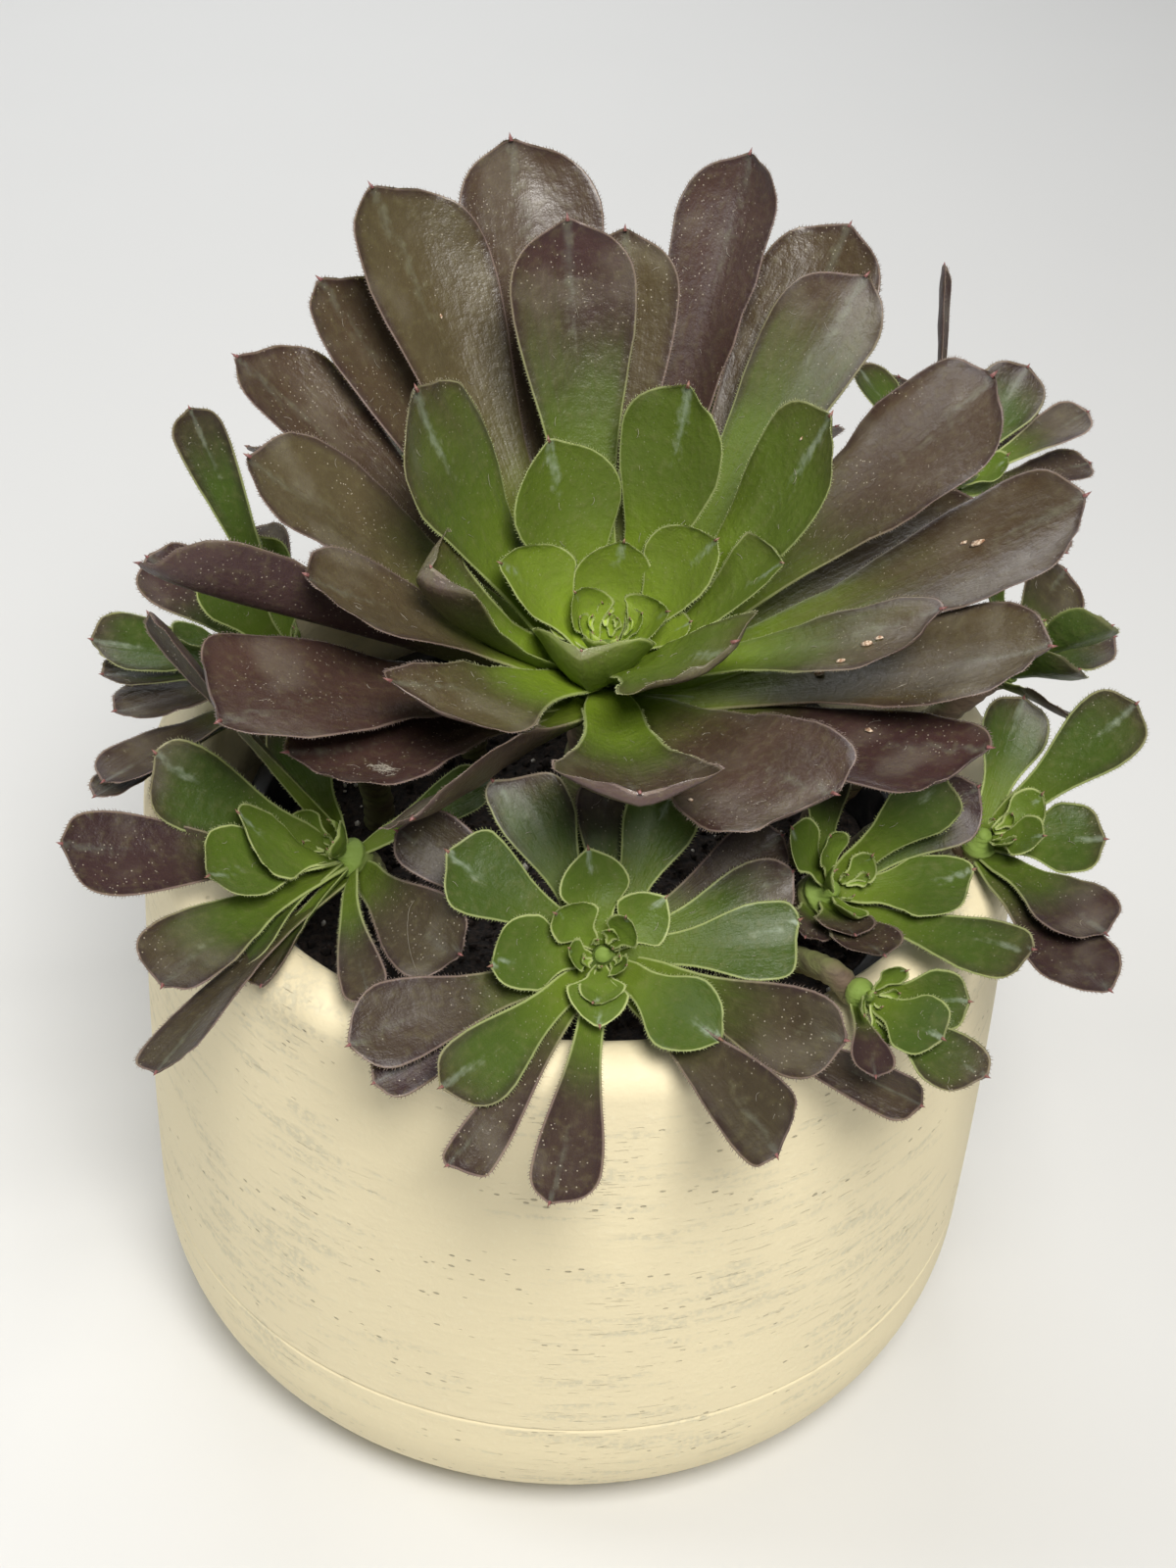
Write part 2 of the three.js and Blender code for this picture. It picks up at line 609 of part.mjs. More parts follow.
// The nursery pot: a thin tapered cup with a rolled rim and drain holes in its floor
function nurserySolid() {
  const base = POT_FLOOR_THICKNESS + SEAT_GAP;
  const top = base + NURSERY_HEIGHT;
  const profile = [
    [0, base],
    [NURSERY_BASE_RADIUS, base],
    [NURSERY_TOP_RADIUS, top - NURSERY_RIM],
    [NURSERY_TOP_RADIUS + NURSERY_RIM, top - NURSERY_RIM],
    [NURSERY_TOP_RADIUS + NURSERY_RIM, top - 1],
    [NURSERY_TOP_RADIUS + NURSERY_RIM - 1, top],
    [NURSERY_TOP_RADIUS - NURSERY_WALL + 1, top],
    [NURSERY_TOP_RADIUS - NURSERY_WALL, top - 1],
    [NURSERY_BASE_RADIUS - NURSERY_WALL, base + NURSERY_WALL],
    [0, base + NURSERY_WALL],
  ].map(([r, z]) => new THREE.Vector2(r, z));
  const shell = new THREE.LatheGeometry(profile, NURSERY_SIDES);
  shell.rotateX(Math.PI / 2);
  let solid = solidOf(shell);
  for (let i = 0; i < DRAIN_HOLES; i += 1) {
    const a = (i / DRAIN_HOLES) * 2 * Math.PI;
    const deep = 4 * NURSERY_WALL;
    const hole = new THREE.CylinderGeometry(DRAIN_HOLE_RADIUS, DRAIN_HOLE_RADIUS, deep, DRAIN_HOLE_SIDES);
    hole.rotateX(Math.PI / 2);
    hole.translate(DRAIN_RING_RADIUS * Math.cos(a), DRAIN_RING_RADIUS * Math.sin(a), base);
    solid = solid.subtract(solidOf(hole));
  }
  return solid;
}

// The soil: it fills the nursery pot, mounds a little, and each stem stands in a plain hole
function soilSolid() {
  const base = POT_FLOOR_THICKNESS + NURSERY_WALL + 2 * SEAT_GAP;
  const taper = (NURSERY_TOP_RADIUS - NURSERY_BASE_RADIUS) / NURSERY_HEIGHT;
  const radiusAt = (z) => NURSERY_BASE_RADIUS + taper * (z - POT_FLOOR_THICKNESS) - NURSERY_WALL - 1;
  const edge = soilHeight - SOIL_MOUND;
  const profile = [
    [0, base],
    [radiusAt(base), base],
    [radiusAt(edge), edge],
    [0.75 * radiusAt(edge), edge + SOIL_MOUND * 0.6],
    [0.4 * radiusAt(edge), edge + SOIL_MOUND * 0.9],
    [0, soilHeight],
  ].map(([r, z]) => new THREE.Vector2(r, z));
  const block = new THREE.LatheGeometry(profile, NURSERY_SIDES);
  block.rotateX(Math.PI / 2);
  let solid = solidOf(block);
  for (const head of heads) {
    const [x, y] = head.stem[head.stem.length - 1];
    const radius = head.stemRadius + STEM_HOLE_PLAY;
    const hole = new THREE.CylinderGeometry(radius, radius, 2 * STEM_HOLE_DEPTH, STEM_HOLE_SIDES);
    hole.rotateX(Math.PI / 2);
    hole.translate(x, y, soilHeight);
    solid = solid.subtract(solidOf(hole));
  }
  return solid;
}

function material(color, roughness) {
  return new THREE.MeshStandardMaterial({ color, roughness, metalness: 0 });
}

function addMesh(group, name, solid, look) {
  const mesh = new THREE.Mesh(geometryOf(solid), look);
  mesh.name = name;
  group.add(mesh);
}

const creamPot = material(0xeee2bc, 0.85);
const blackPlastic = material(0x191a1b, 0.45);
const darkSoil = material(0x1c1714, 0.98);
const purpleLeaf = material(0x5d4f45, 0.5);
const greenLeaf = material(0x4f7a2c, 0.5);

const plant = new THREE.Group();
const potGeometry = new THREE.LatheGeometry(potProfile(), POT_SIDES);
potGeometry.rotateX(Math.PI / 2);
addMesh(plant, "outer_pot", solidOf(potGeometry), creamPot);
addMesh(plant, "nursery_pot", nurserySolid(), blackPlastic);
addMesh(plant, "potting_soil", soilSolid(), darkSoil);
for (const head of heads) {
  addMesh(plant, head.name, headSolid(head), head.name === "main_rosette" ? purpleLeaf : greenLeaf);
}

export default plant;
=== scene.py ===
# %% [markdown]
# # A potted aeonium
# The construction is already settled: a frame of plain solids at their real size. This lesson gives
# each of them its looks. Leaves, pots and soil are rebuilt as finer meshes from the same numbers, and
# every surface gets a finish made of nodes, so no picture is needed.
# All lengths in the tables are millimetres, because that is how one measures a plant. Blender works in
# metres, so MM turns one into the other at the last moment.

# %% Load the frame
import math
import bpy
import numpy as np
from mathutils import Matrix, Vector


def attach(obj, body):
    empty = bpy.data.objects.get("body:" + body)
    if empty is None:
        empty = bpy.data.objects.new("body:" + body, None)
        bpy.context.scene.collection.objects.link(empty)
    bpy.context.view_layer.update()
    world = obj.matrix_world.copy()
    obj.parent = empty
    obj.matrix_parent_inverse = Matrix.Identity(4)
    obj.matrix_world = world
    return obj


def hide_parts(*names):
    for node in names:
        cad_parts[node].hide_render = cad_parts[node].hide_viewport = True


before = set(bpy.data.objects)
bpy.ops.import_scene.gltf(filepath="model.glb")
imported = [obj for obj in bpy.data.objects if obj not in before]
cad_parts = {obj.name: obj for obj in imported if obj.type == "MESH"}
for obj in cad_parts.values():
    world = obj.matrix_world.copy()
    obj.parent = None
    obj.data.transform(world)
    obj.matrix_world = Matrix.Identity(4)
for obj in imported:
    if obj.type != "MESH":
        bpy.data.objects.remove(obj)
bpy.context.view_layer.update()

MM = 0.001
print("nodes:", ", ".join(sorted(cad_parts)))

# %% [markdown]
# ## Directions
# A gardener would say that a leaf points to the left and a little up. Two angles say the same: the
# azimuth, counted from +X towards +Y, and the rise above the horizontal. One could store finished
# vectors instead, but two angles stay readable.

# %% Turn angles into unit vectors
def direction(azimuth, rise):
    """The unit vector with this azimuth and rise, in degrees."""
    a, r = math.radians(azimuth), math.radians(rise)
    return np.array([math.cos(r) * math.cos(a), math.cos(r) * math.sin(a), math.sin(r)])


def unit(vector):
    """The same direction with length one. The last axis holds X, Y and Z."""
    return vector / (np.linalg.norm(vector, axis=-1, keepdims=True) + 1e-12)


def smooth(low, high, value):
    """Rises gently from 0 at low to 1 at high."""
    t = np.clip((value - low) / (high - low), 0, 1)
    return t * t * (3 - 2 * t)


print("straight back and level:", direction(90, 0).round(3))

# %% [markdown]
# ## The camera
# The photograph looks down on the plant by 40 degrees, from a little over half a metre away, and the
# camera is rolled by less than four degrees. A long lens from further off would flatten the rosette,
# so the distance matters as much as the angle. The middle of the pot's rim sits a little above the
# middle of the frame, and that pixel places the camera sideways and up. The camera's numbers were
# fitted to the pot's outline in the photograph by a separate script, and then rounded.

# %% Place the camera
FRAME_WIDTH_PX = 1200
FRAME_HEIGHT_PX = 1600
FOCAL_PX = 2400
RIM_MIDDLE_PX = (596, 773)
RIM_MIDDLE = np.array([0, 0, 168])
CAMERA_PITCH = 40
CAMERA_ROLL = 3.6
CAMERA_DISTANCE = 593
SENSOR_MM = 36


def camera_axes():
    """The camera's right, up and forward directions."""
    pitch, roll = math.radians(CAMERA_PITCH), math.radians(CAMERA_ROLL)
    forward = np.array([0, math.cos(pitch), -math.sin(pitch)])
    level_up = np.array([0, math.sin(pitch), math.cos(pitch)])
    level_right = np.array([1, 0, 0])
    right = level_right * math.cos(roll) + level_up * math.sin(roll)
    up = level_up * math.cos(roll) - level_right * math.sin(roll)
    return right, up, forward


right, up, forward = camera_axes()
across_px = (RIM_MIDDLE_PX[0] - FRAME_WIDTH_PX / 2) / FOCAL_PX
down_px = (RIM_MIDDLE_PX[1] - FRAME_HEIGHT_PX / 2) / FOCAL_PX
eye = RIM_MIDDLE - CAMERA_DISTANCE * (forward + right * across_px - up * down_px)
camera_data = bpy.data.cameras.new("camera")
camera_data.sensor_width = SENSOR_MM
camera_data.lens = SENSOR_MM * FOCAL_PX / FRAME_HEIGHT_PX
camera = bpy.data.objects.new("camera", camera_data)
turn = Matrix((right, up, -forward)).transposed().to_4x4()
camera.matrix_world = Matrix.Translation(Vector(eye * MM)) @ turn
bpy.context.scene.collection.objects.link(camera)
bpy.context.scene.camera = camera
print("lens", camera_data.lens, "mm, eye at", (eye * MM).round(3))

# %% [markdown]
# ## Soft studio light
# The plant stands in soft window light: the shadows are weak, and the leaves that lean towards the
# light carry long pale reflections. Area lights give both, because a wide light has a wide
# reflection. One large light stands high at the front right for the pot, a wider one hangs behind for
# the sheen on the leaves, a weak one at the left rounds the pot, and a dim world fills the shadows.

# %% Set up the lights
LIGHTS = {
    "key_light": {"at": (200, -700, 1350), "size": 560, "watts": 22, "color": (1.0, 0.975, 0.94)},
    "back_light": {"at": (-260, 1150, 900), "size": 900, "watts": 7, "color": (0.97, 0.98, 1.0)},
    "left_light": {"at": (-1000, 40, 950), "size": 450, "watts": 3.6, "color": (0.98, 0.99, 1.0)},
}
WORLD_STRENGTH = 0.22
LIGHTS_AIM = (0, 0, 150)


def add_light(name, at, size, watts, color):
    """A square area light that looks at the plant."""
    data = bpy.data.lights.new(name, "AREA")
    data.energy = watts
    data.size = size * MM
    data.color = color
    light = bpy.data.objects.new(name, data)
    light.location = Vector(at) * MM
    aim = Vector(LIGHTS_AIM) * MM - light.location
    light.rotation_euler = aim.to_track_quat("-Z", "Y").to_euler()
    bpy.context.scene.collection.objects.link(light)


for name, values in LIGHTS.items():
    add_light(name, **values)
world = bpy.data.worlds.new("soft_room")
world.use_nodes = True
background = world.node_tree.nodes["Background"]
background.inputs["Color"].default_value = (0.88, 0.9, 0.93, 1)
background.inputs["Strength"].default_value = WORLD_STRENGTH
bpy.context.scene.world = world
bpy.context.scene.view_settings.view_transform = "Standard"
print("lights:", ", ".join(LIGHTS))

# %% [markdown]
# ## Nodes as expressions
# A finish is a small calculation that runs for each point of a surface. Wiring many nodes by hand
# soon hides the idea, so a Wire wraps one socket and lets Python's own signs add the Math nodes. The
# reflected forms make 1 - mask work too.

# %% Wrap a socket
def plug(tree, socket, value):
    """Links a wire to a socket, or sets the socket to a plain value."""
    if isinstance(value, Wire):
        tree.links.new(value.socket, socket)
    else:
        socket.default_value = value


class Wire:
    """One output of a node, which can be used in expressions."""

    def __init__(self, tree, socket):
        self.tree = tree
        self.socket = socket

    def math(self, operation, *values):
        node = self.tree.nodes.new("ShaderNodeMath")
        node.operation = operation
        for place, value in zip(node.inputs, values):
            plug(self.tree, place, value)
        return Wire(self.tree, node.outputs[0])

    def __add__(self, other):
        return self.math("ADD", self, other)

    def __radd__(self, other):
        return self.math("ADD", other, self)

    def __sub__(self, other):
        return self.math("SUBTRACT", self, other)

    def __rsub__(self, other):
        return self.math("SUBTRACT", other, self)

    def __mul__(self, other):
        return self.math("MULTIPLY", self, other)

    def __rmul__(self, other):
        return self.math("MULTIPLY", other, self)


print("a wire can be added, subtracted and multiplied, on either side of a number")

# %% [markdown]
# ## One material, one Finish
# Finish holds a material's tree. Its node() makes any kind of node: the settings come first, because
# they decide which sockets there are, and the socket values or links follow. The short methods below
# it only give names to the few nodes that every finish here needs.

# %% Build a finish
def paint(red, green, blue):
    """A colour as a screen shows it, 0 to 255, in the linear values that a shader wants."""
    def linear(value):
        v = value / 255
        return v / 12.92 if v <= 0.04045 else ((v + 0.055) / 1.055) ** 2.4
    return (linear(red), linear(green), linear(blue), 1)


class Finish:
    """One material and the nodes in it."""

    def __init__(self, name):
        self.material = bpy.data.materials.new(name)
        self.material.use_nodes = True
        self.tree = self.material.node_tree
        self.tree.nodes.clear()

    def node(self, kind, settings=None, values=None, output=0):
        made = self.tree.nodes.new("ShaderNode" + kind)
        for key, value in (settings or {}).items():
            setattr(made, key, value)
        for place, value in (values or {}).items():
            plug(self.tree, made.inputs[place], value)
        return Wire(self.tree, made.outputs[output])

    def place(self, scale=(1, 1, 1)):
        """Where the point is on the object, in metres, stretched by scale."""
        at = self.node("TexCoord", output="Object")
        return self.node("VectorMath", {"operation": "MULTIPLY"}, {0: at, 1: scale})

    def noise(self, where, size, detail=3):
        """Soft noise from 0 to 1, whose patches are about size millimetres across."""
        values = {"Vector": where, "Scale": 1 / (size * MM), "Detail": detail}
        return self.node("TexNoise", None, values)

    def cells(self, where, size):
        """The distance to the nearest of many scattered points that lie about size apart."""
        return self.node("TexVoronoi", None, {"Vector": where, "Scale": 1 / (size * MM)})

    def stored(self, name):
        """A number that the mesh holds at each of its points."""
        return self.node("Attribute", {"attribute_name": name}, output="Fac")

    def step(self, value, low, high):
        """0 at low, 1 at high, and smooth between. low may be the larger one."""
        values = {"Value": value, "From Min": low, "From Max": high}
        return self.node("MapRange", {"interpolation_type": "SMOOTHSTEP"}, values)

    def mix(self, share, first, second):
        return self.node("Mix", {"data_type": "RGBA"}, {0: share, 6: first, 7: second}, output=2)

    def bump(self, height, depth):
        """A normal that follows height, whose full range is depth in millimetres."""
        return self.node("Bump", None, {"Height": height, "Distance": depth * MM}, output="Normal")

    def shade(self, **values):
        """Closes the finish with a Principled shader. Underscores in names stand for spaces."""
        shader = self.tree.nodes.new("ShaderNodeBsdfPrincipled")
        for name, value in values.items():
            plug(self.tree, shader.inputs[name.replace("_", " ")], value)
        end = self.tree.nodes.new("ShaderNodeOutputMaterial")
        self.tree.links.new(shader.outputs[0], end.inputs["Surface"])
        return self.material


print("a warm cream, linear:", [round(value, 2) for value in paint(238, 226, 188)[:3]])

# %% [markdown]
# ## From arrays to pieces
# Every piece is worked out as arrays of points and faces, and from_pydata turns them into a mesh in
# one go. That is far quicker than adding faces one at a time. A piece also carries named numbers on
# its points, such as how far along a leaf a point lies, and the finishes read them.

# %% Collect a mesh
class Shape:
    """Points, faces, a material number for each face, and named numbers for each point."""

    def __init__(self):
        self.points, self.faces, self.looks, self.numbers = [], [], [], {}
        self.count = 0

    def add(self, points, faces, look=0, **numbers):
        points = np.asarray(points, float).reshape(-1, 3)
        self.points.append(points)
        self.faces.extend([tuple(int(i) + self.count for i in face) for face in faces])
        self.looks.extend([look] * len(faces))
        for name in set(self.numbers) | set(numbers):
            earlier = self.numbers.setdefault(name, [np.zeros(self.count)])
            value = np.asarray(numbers.get(name, 0.0), float).reshape(-1)
            earlier.append(np.broadcast_to(value, (len(points),)))
        self.count += len(points)

    def piece(self, name, materials, slot, *nodes):
        """The finished object. It rides on the pot's body and stands for the CAD nodes."""
        mesh = bpy.data.meshes.new(name)
        mesh.from_pydata((np.concatenate(self.points) * MM).tolist(), [], self.faces)
        for label, parts in self.numbers.items():
            stored = mesh.attributes.new(label, "FLOAT", "POINT")
            stored.data.foreach_set("value", np.concatenate(parts).astype(np.float32))
        for material in materials:
            mesh.materials.append(material)
        mesh.polygons.foreach_set("material_index", self.looks)
        mesh.shade_smooth()
        made = bpy.data.objects.new(name, mesh)
        bpy.context.scene.collection.objects.link(made)
        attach(made, "root")
        if nodes:
            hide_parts(*nodes)
        print(f"{name}: {sum(len(face) - 2 for face in self.faces)} triangles")
        return made


def grid_faces(rows, columns, closed=False):
    """The four-sided faces between rows of points. closed joins the last column to the first."""
    faces = []
    for i in range(rows - 1):
        for j in range(columns if closed else columns - 1):
            k = (j + 1) % columns
            faces.append((i * columns + j, i * columns + k, (i + 1) * columns + k, (i + 1) * columns + j))
    return faces


print("a grid of 3 by 4 points has", len(grid_faces(3, 4)), "faces")

# %% [markdown]
# ## Turned pieces
# Both pots are round, as if they came off a wheel. A lathe turns a profile of radius and height into
# such a body. Blender has a Screw modifier for that, but plain arithmetic lets the wall waver a
# little on the way, as a hand-finished pot does.

# %% Turn a profile
def lathe(shape, profile, sides, waver=None):
    """Adds a turned body. profile lists (radius, height) from the middle of the base to the end."""
    angle = np.linspace(0, 2 * math.pi, sides, endpoint=False)
    profile = np.array(profile, float)
    radius, height = profile[1:-1, :1], profile[1:-1, 1:]
    if waver is not None:
        radius = radius + waver(angle[None, :], height)
    rings = np.stack(np.broadcast_arrays(radius * np.cos(angle), radius * np.sin(angle), height), -1)
    rows = len(rings)
    faces = grid_faces(rows, sides, closed=True)
    first, last = rows * sides, rows * sides + 1
    faces += [(first, (j + 1) % sides, j) for j in range(sides)]
    top = (rows - 1) * sides
    faces += [(last, top + j, top + (j + 1) % sides) for j in range(sides)]
    ends = [[0, 0, profile[0, 1]], [0, 0, profile[-1, 1]]]
    shape.add(np.concatenate([rings.reshape(-1, 3), ends]), faces)


print("the lathe closes a body with a fan at each end")

# %% [markdown]
# ## The outer pot's form
# The planter is a straight-sided bowl in cream, cast with a thick wall. Its foot turns in with a soft
# quarter round, the belly is barely wider than the rim, and the lip is a full half round. One fine
# groove runs round it above the foot. The profile is the frame's, with more steps in each curve. A
# separate script fitted its height, belly, foot and groove to the photograph together with the camera,
# and the rim's radius sets the scale.

# %% Turn the outer pot
POT_HEIGHT = 168
POT_RIM_RADIUS = 110
POT_BELLY_RADIUS = 114
POT_LIP_THICKNESS = 16
POT_LIP_HEIGHT = 7.5
POT_FOOT_ROUND_OUT = 26
POT_FOOT_ROUND_UP = 34
POT_FLOOR_THICKNESS = 12
POT_FLOOR_ROUND_OUT = 12
POT_FLOOR_ROUND_UP = 20
POT_SIDES = 224
GROOVE_HEIGHT = 44
GROOVE_DEPTH = 0.45
GROOVE_HALF_WIDTH = 0.8
WAVER_DEPTH = 0.35


def outer_pot_profile():
    """Radius and height from the middle of the base, up the outside, over the lip and down inside."""
    points = [(0, 0), (40, 0)]
    for a in np.radians(np.linspace(0, 90, 15)):
        out = POT_BELLY_RADIUS - POT_FOOT_ROUND_OUT * (1 - math.sin(a))
        points.append((out, POT_FOOT_ROUND_UP * (1 - math.cos(a))))
    lip_foot = POT_HEIGHT - POT_LIP_HEIGHT
    wall = np.concatenate([np.linspace(36, 42.4, 4), np.linspace(43, 45, 9), np.linspace(45.6, 156, 40)])
    for z in wall:
        t = (z - POT_FOOT_ROUND_UP) / (lip_foot - POT_FOOT_ROUND_UP)
        out = POT_BELLY_RADIUS + (POT_RIM_RADIUS - POT_BELLY_RADIUS) * t * t
        groove = math.exp(-(((z - GROOVE_HEIGHT) / GROOVE_HALF_WIDTH * 2) ** 2))
        points.append((out - GROOVE_DEPTH * groove, z))
    for a in np.radians(np.linspace(0, 180, 19)):
        out = POT_RIM_RADIUS - POT_LIP_THICKNESS / 2 * (1 - math.cos(a))
        points.append((out, lip_foot + POT_LIP_HEIGHT * math.sin(a)))
    inner = POT_RIM_RADIUS - POT_LIP_THICKNESS
    for z in np.linspace(150, POT_FLOOR_THICKNESS + POT_FLOOR_ROUND_UP, 12):
        points.append((inner, z))
    for a in np.radians(np.linspace(15, 90, 6)):
        out = inner - POT_FLOOR_ROUND_OUT * (1 - math.cos(a))
        points.append((out, POT_FLOOR_THICKNESS + POT_FLOOR_ROUND_UP * (1 - math.sin(a))))
    return points + [(40, POT_FLOOR_THICKNESS), (0, POT_FLOOR_THICKNESS)]


def pot_waver(angle, height):
    """How far the wall strays from a true circle, in millimetres."""
    slow = np.sin(2 * angle + 0.6 + height / 90) + 0.6 * np.sin(5 * angle + height / 37)
    low = smooth(0, 30, height)
    return WAVER_DEPTH * low * (slow - 1) / 2


outer_pot = Shape()
lathe(outer_pot, outer_pot_profile(), POT_SIDES, pot_waver)
print("outer pot has", outer_pot.count, "points")

# %% [markdown]
# ## The outer pot's finish
# The cream coat is matte and was wiped on thinly: grey clay shows through in worn patches, short level
# scratches run round the wall, and small dark pits sit in loose bands. Noise that is stretched sideways
# looks like brushing round the pot. The same masks drive the colour, the roughness and the bump, so
# that a pit is dark, dull and deep at once.

# %% Finish the outer pot
def cream_finish():
    f = Finish("cream_pot")
    at, level = f.place(), f.place((1, 1, 7))
    cloud, fine = f.noise(at, 46, 4), f.noise(at, 1.6, 5)
    brushed, scratch = f.noise(level, 26, 6), f.noise(f.place((1, 1, 16)), 9, 4)
    worn = f.step(brushed + (cloud - 0.5) * 0.7, 0.53, 0.7)
    patch = worn * f.step(fine, 0.34, 0.66)
    band = f.step(f.noise(f.place((0.35, 0.35, 3)), 30, 2), 0.5, 0.62)
    pit = f.step(f.cells(f.place((1, 1, 2.2)), 5.2), 0.17, 0.09) * band
    line = f.step(scratch, 0.66, 0.7) * f.step(cloud, 0.45, 0.6)
    color = f.mix(cloud, paint(242, 229, 190), paint(234, 221, 184))
    color = f.mix(patch * 0.56, color, paint(198, 193, 168))
    color = f.mix(line * 0.35, color, paint(184, 178, 152))
    color = f.mix(pit * 0.6, color, paint(146, 138, 114))
    color = f.mix(f.step(fine, 0.55, 0.8) * 0.25, color, paint(250, 243, 212))
    relief = brushed * 0.35 + fine * 0.3 - pit * 0.8 - line * 0.4 - patch * 0.2
    rough = 0.62 + patch * 0.2 + pit * 0.15
    return f.shade(Base_Color=color, Roughness=rough, Normal=f.bump(relief, 0.55))


cream = cream_finish()
outer_pot.piece("outer_pot_glazed", [cream], "cream_pot", "outer_pot")

# %% [markdown]
# ## The nursery pot
# Inside the planter stands the thin black pot that the plant was grown in. Only an arc of its rolled
# rim shows. It is turned like the outer pot, and a Boolean modifier drills the drain holes, because
# holes don't lie on a turned profile.

# %% Turn and drill the nursery pot
SEAT_GAP = 0.3
NURSERY_HEIGHT = 132
NURSERY_TOP_RADIUS = 84
NURSERY_BASE_RADIUS = 70
NURSERY_WALL = 1.6
NURSERY_RIM = 3.2
NURSERY_SIDES = 96
DRAIN_HOLES = 5
DRAIN_HOLE_RADIUS = 5
DRAIN_RING_RADIUS = 49


def nursery_profile():
    base = POT_FLOOR_THICKNESS + SEAT_GAP
    top = base + NURSERY_HEIGHT
    rim_out = NURSERY_TOP_RADIUS + NURSERY_RIM
    points = [(0, base), (NURSERY_BASE_RADIUS - 1, base), (NURSERY_BASE_RADIUS, base + 1)]
    points += [(NURSERY_TOP_RADIUS, top - NURSERY_RIM - 0.3), (NURSERY_TOP_RADIUS + 0.4, top - NURSERY_RIM)]
    points += [(rim_out - 0.3, top - NURSERY_RIM), (rim_out, top - NURSERY_RIM + 0.3)]
    for a in np.radians(np.linspace(0, 90, 6)):
        points.append((rim_out - 1 + math.cos(a), top - 1 + math.sin(a)))
    for a in np.radians(np.linspace(90, 180, 6)):
        points.append((NURSERY_TOP_RADIUS - NURSERY_WALL + 1 + math.cos(a), top - 1 + math.sin(a)))
    inner = NURSERY_BASE_RADIUS - NURSERY_WALL
    inside = base + NURSERY_WALL
    return points + [(inner, inside + 1), (inner - 1, inside), (0, inside)]


def black_plastic_finish():
    f = Finish("black_plastic")
    dust, grain = f.noise(f.place(), 12, 4), f.noise(f.place(), 0.5, 2)
    color = f.mix(f.step(dust, 0.45, 0.75) * 0.5, paint(22, 23, 25), paint(70, 66, 60))
    rough = 0.3 + f.step(dust, 0.4, 0.7) * 0.3
    return f.shade(Base_Color=color, Roughness=rough, Normal=f.bump(grain, 0.05))


def drill(piece, centers, radius, depth):
    """Cuts an upright round hole through the piece at each centre."""
    for center in centers:
        bpy.ops.mesh.primitive_cylinder_add(
            vertices=32, radius=radius * MM, depth=depth * MM, location=Vector(center) * MM)
        cutter = bpy.context.object
        cut = piece.modifiers.new("drain", "BOOLEAN")
        cut.operation, cut.object, cut.solver = "DIFFERENCE", cutter, "EXACT"
        bpy.context.view_layer.update()
        made = bpy.data.meshes.new_from_object(piece.evaluated_get(bpy.context.evaluated_depsgraph_get()))
        piece.modifiers.clear()
        piece.data = made
        bpy.data.objects.remove(cutter)


nursery = Shape()
lathe(nursery, nursery_profile(), NURSERY_SIDES)
nursery_pot = nursery.piece("nursery_pot_black", [black_plastic_finish()], "black_plastic", "nursery_pot")
angles = [i / DRAIN_HOLES * 360 for i in range(DRAIN_HOLES)]
floor_height = (0, 0, POT_FLOOR_THICKNESS + SEAT_GAP)
drill(nursery_pot, [direction(a, 0) * DRAIN_RING_RADIUS + floor_height for a in angles],
      DRAIN_HOLE_RADIUS, 4 * NURSERY_WALL)
print("drilled", DRAIN_HOLES, "drain holes")

# %% [markdown]
# ## Unevenness
# Soil, leaves and grains all need the same thing: a surface that isn't quite flat, and isn't flat in a
# new way each time. Adding a few waves of random direction does it for any point, without storing a
# grid, and a seeded generator gives the same waves on every run.

# %% Make ripples
chance = np.random.default_rng(20817)


def ripples(size, count=6):
    """A function of two coordinates that wanders smoothly between about -1 and 1."""
    angle = chance.uniform(0, 2 * math.pi, count)
    pace = 2 * math.pi / (size * chance.uniform(0.7, 1.6, count))
    phase = chance.uniform(0, 2 * math.pi, count)

    def wander(x, y):
        x, y = np.asarray(x, float)[..., None], np.asarray(y, float)[..., None]
        waves = np.sin((x * np.cos(angle) + y * np.sin(angle)) * pace + phase)
        return waves.sum(-1) / math.sqrt(count)
    return wander


print("one ripple value:", ripples(10)(1, 2).round(3))

# %% [markdown]
# ## The potting soil
# The soil is dark peat that fills the nursery pot and mounds a little in the middle. One turned body
# holds it, and its top is ruffled by ripples of three sizes. A bump in the finish alone would stay
# flat at the pot's wall, where the light falls sideways.

# %% Lay the soil
SOIL_BELOW_RIM = 10
SOIL_MOUND = 5
SOIL_HEIGHT = POT_FLOOR_THICKNESS + NURSERY_HEIGHT - SOIL_BELOW_RIM
SOIL_EDGE = SOIL_HEIGHT - SOIL_MOUND
SOIL_SIDES = 120


def soil_radius(z):
    """The radius inside the nursery pot's tapered wall."""
    taper = (NURSERY_TOP_RADIUS - NURSERY_BASE_RADIUS) / NURSERY_HEIGHT
    return NURSERY_BASE_RADIUS + taper * (z - POT_FLOOR_THICKNESS) - NURSERY_WALL - 1


clods, lumps, grit = ripples(26), ripples(9), ripples(3.4)


def soil_top(x, y):
    """The height of the soil's surface."""
    out = np.hypot(x, y) / soil_radius(SOIL_EDGE)
    mound = SOIL_EDGE + SOIL_MOUND * (1 - out ** 2)
    return mound - 1.2 + 0.9 * clods(x, y) + 0.6 * lumps(x, y) + 0.35 * grit(x, y)


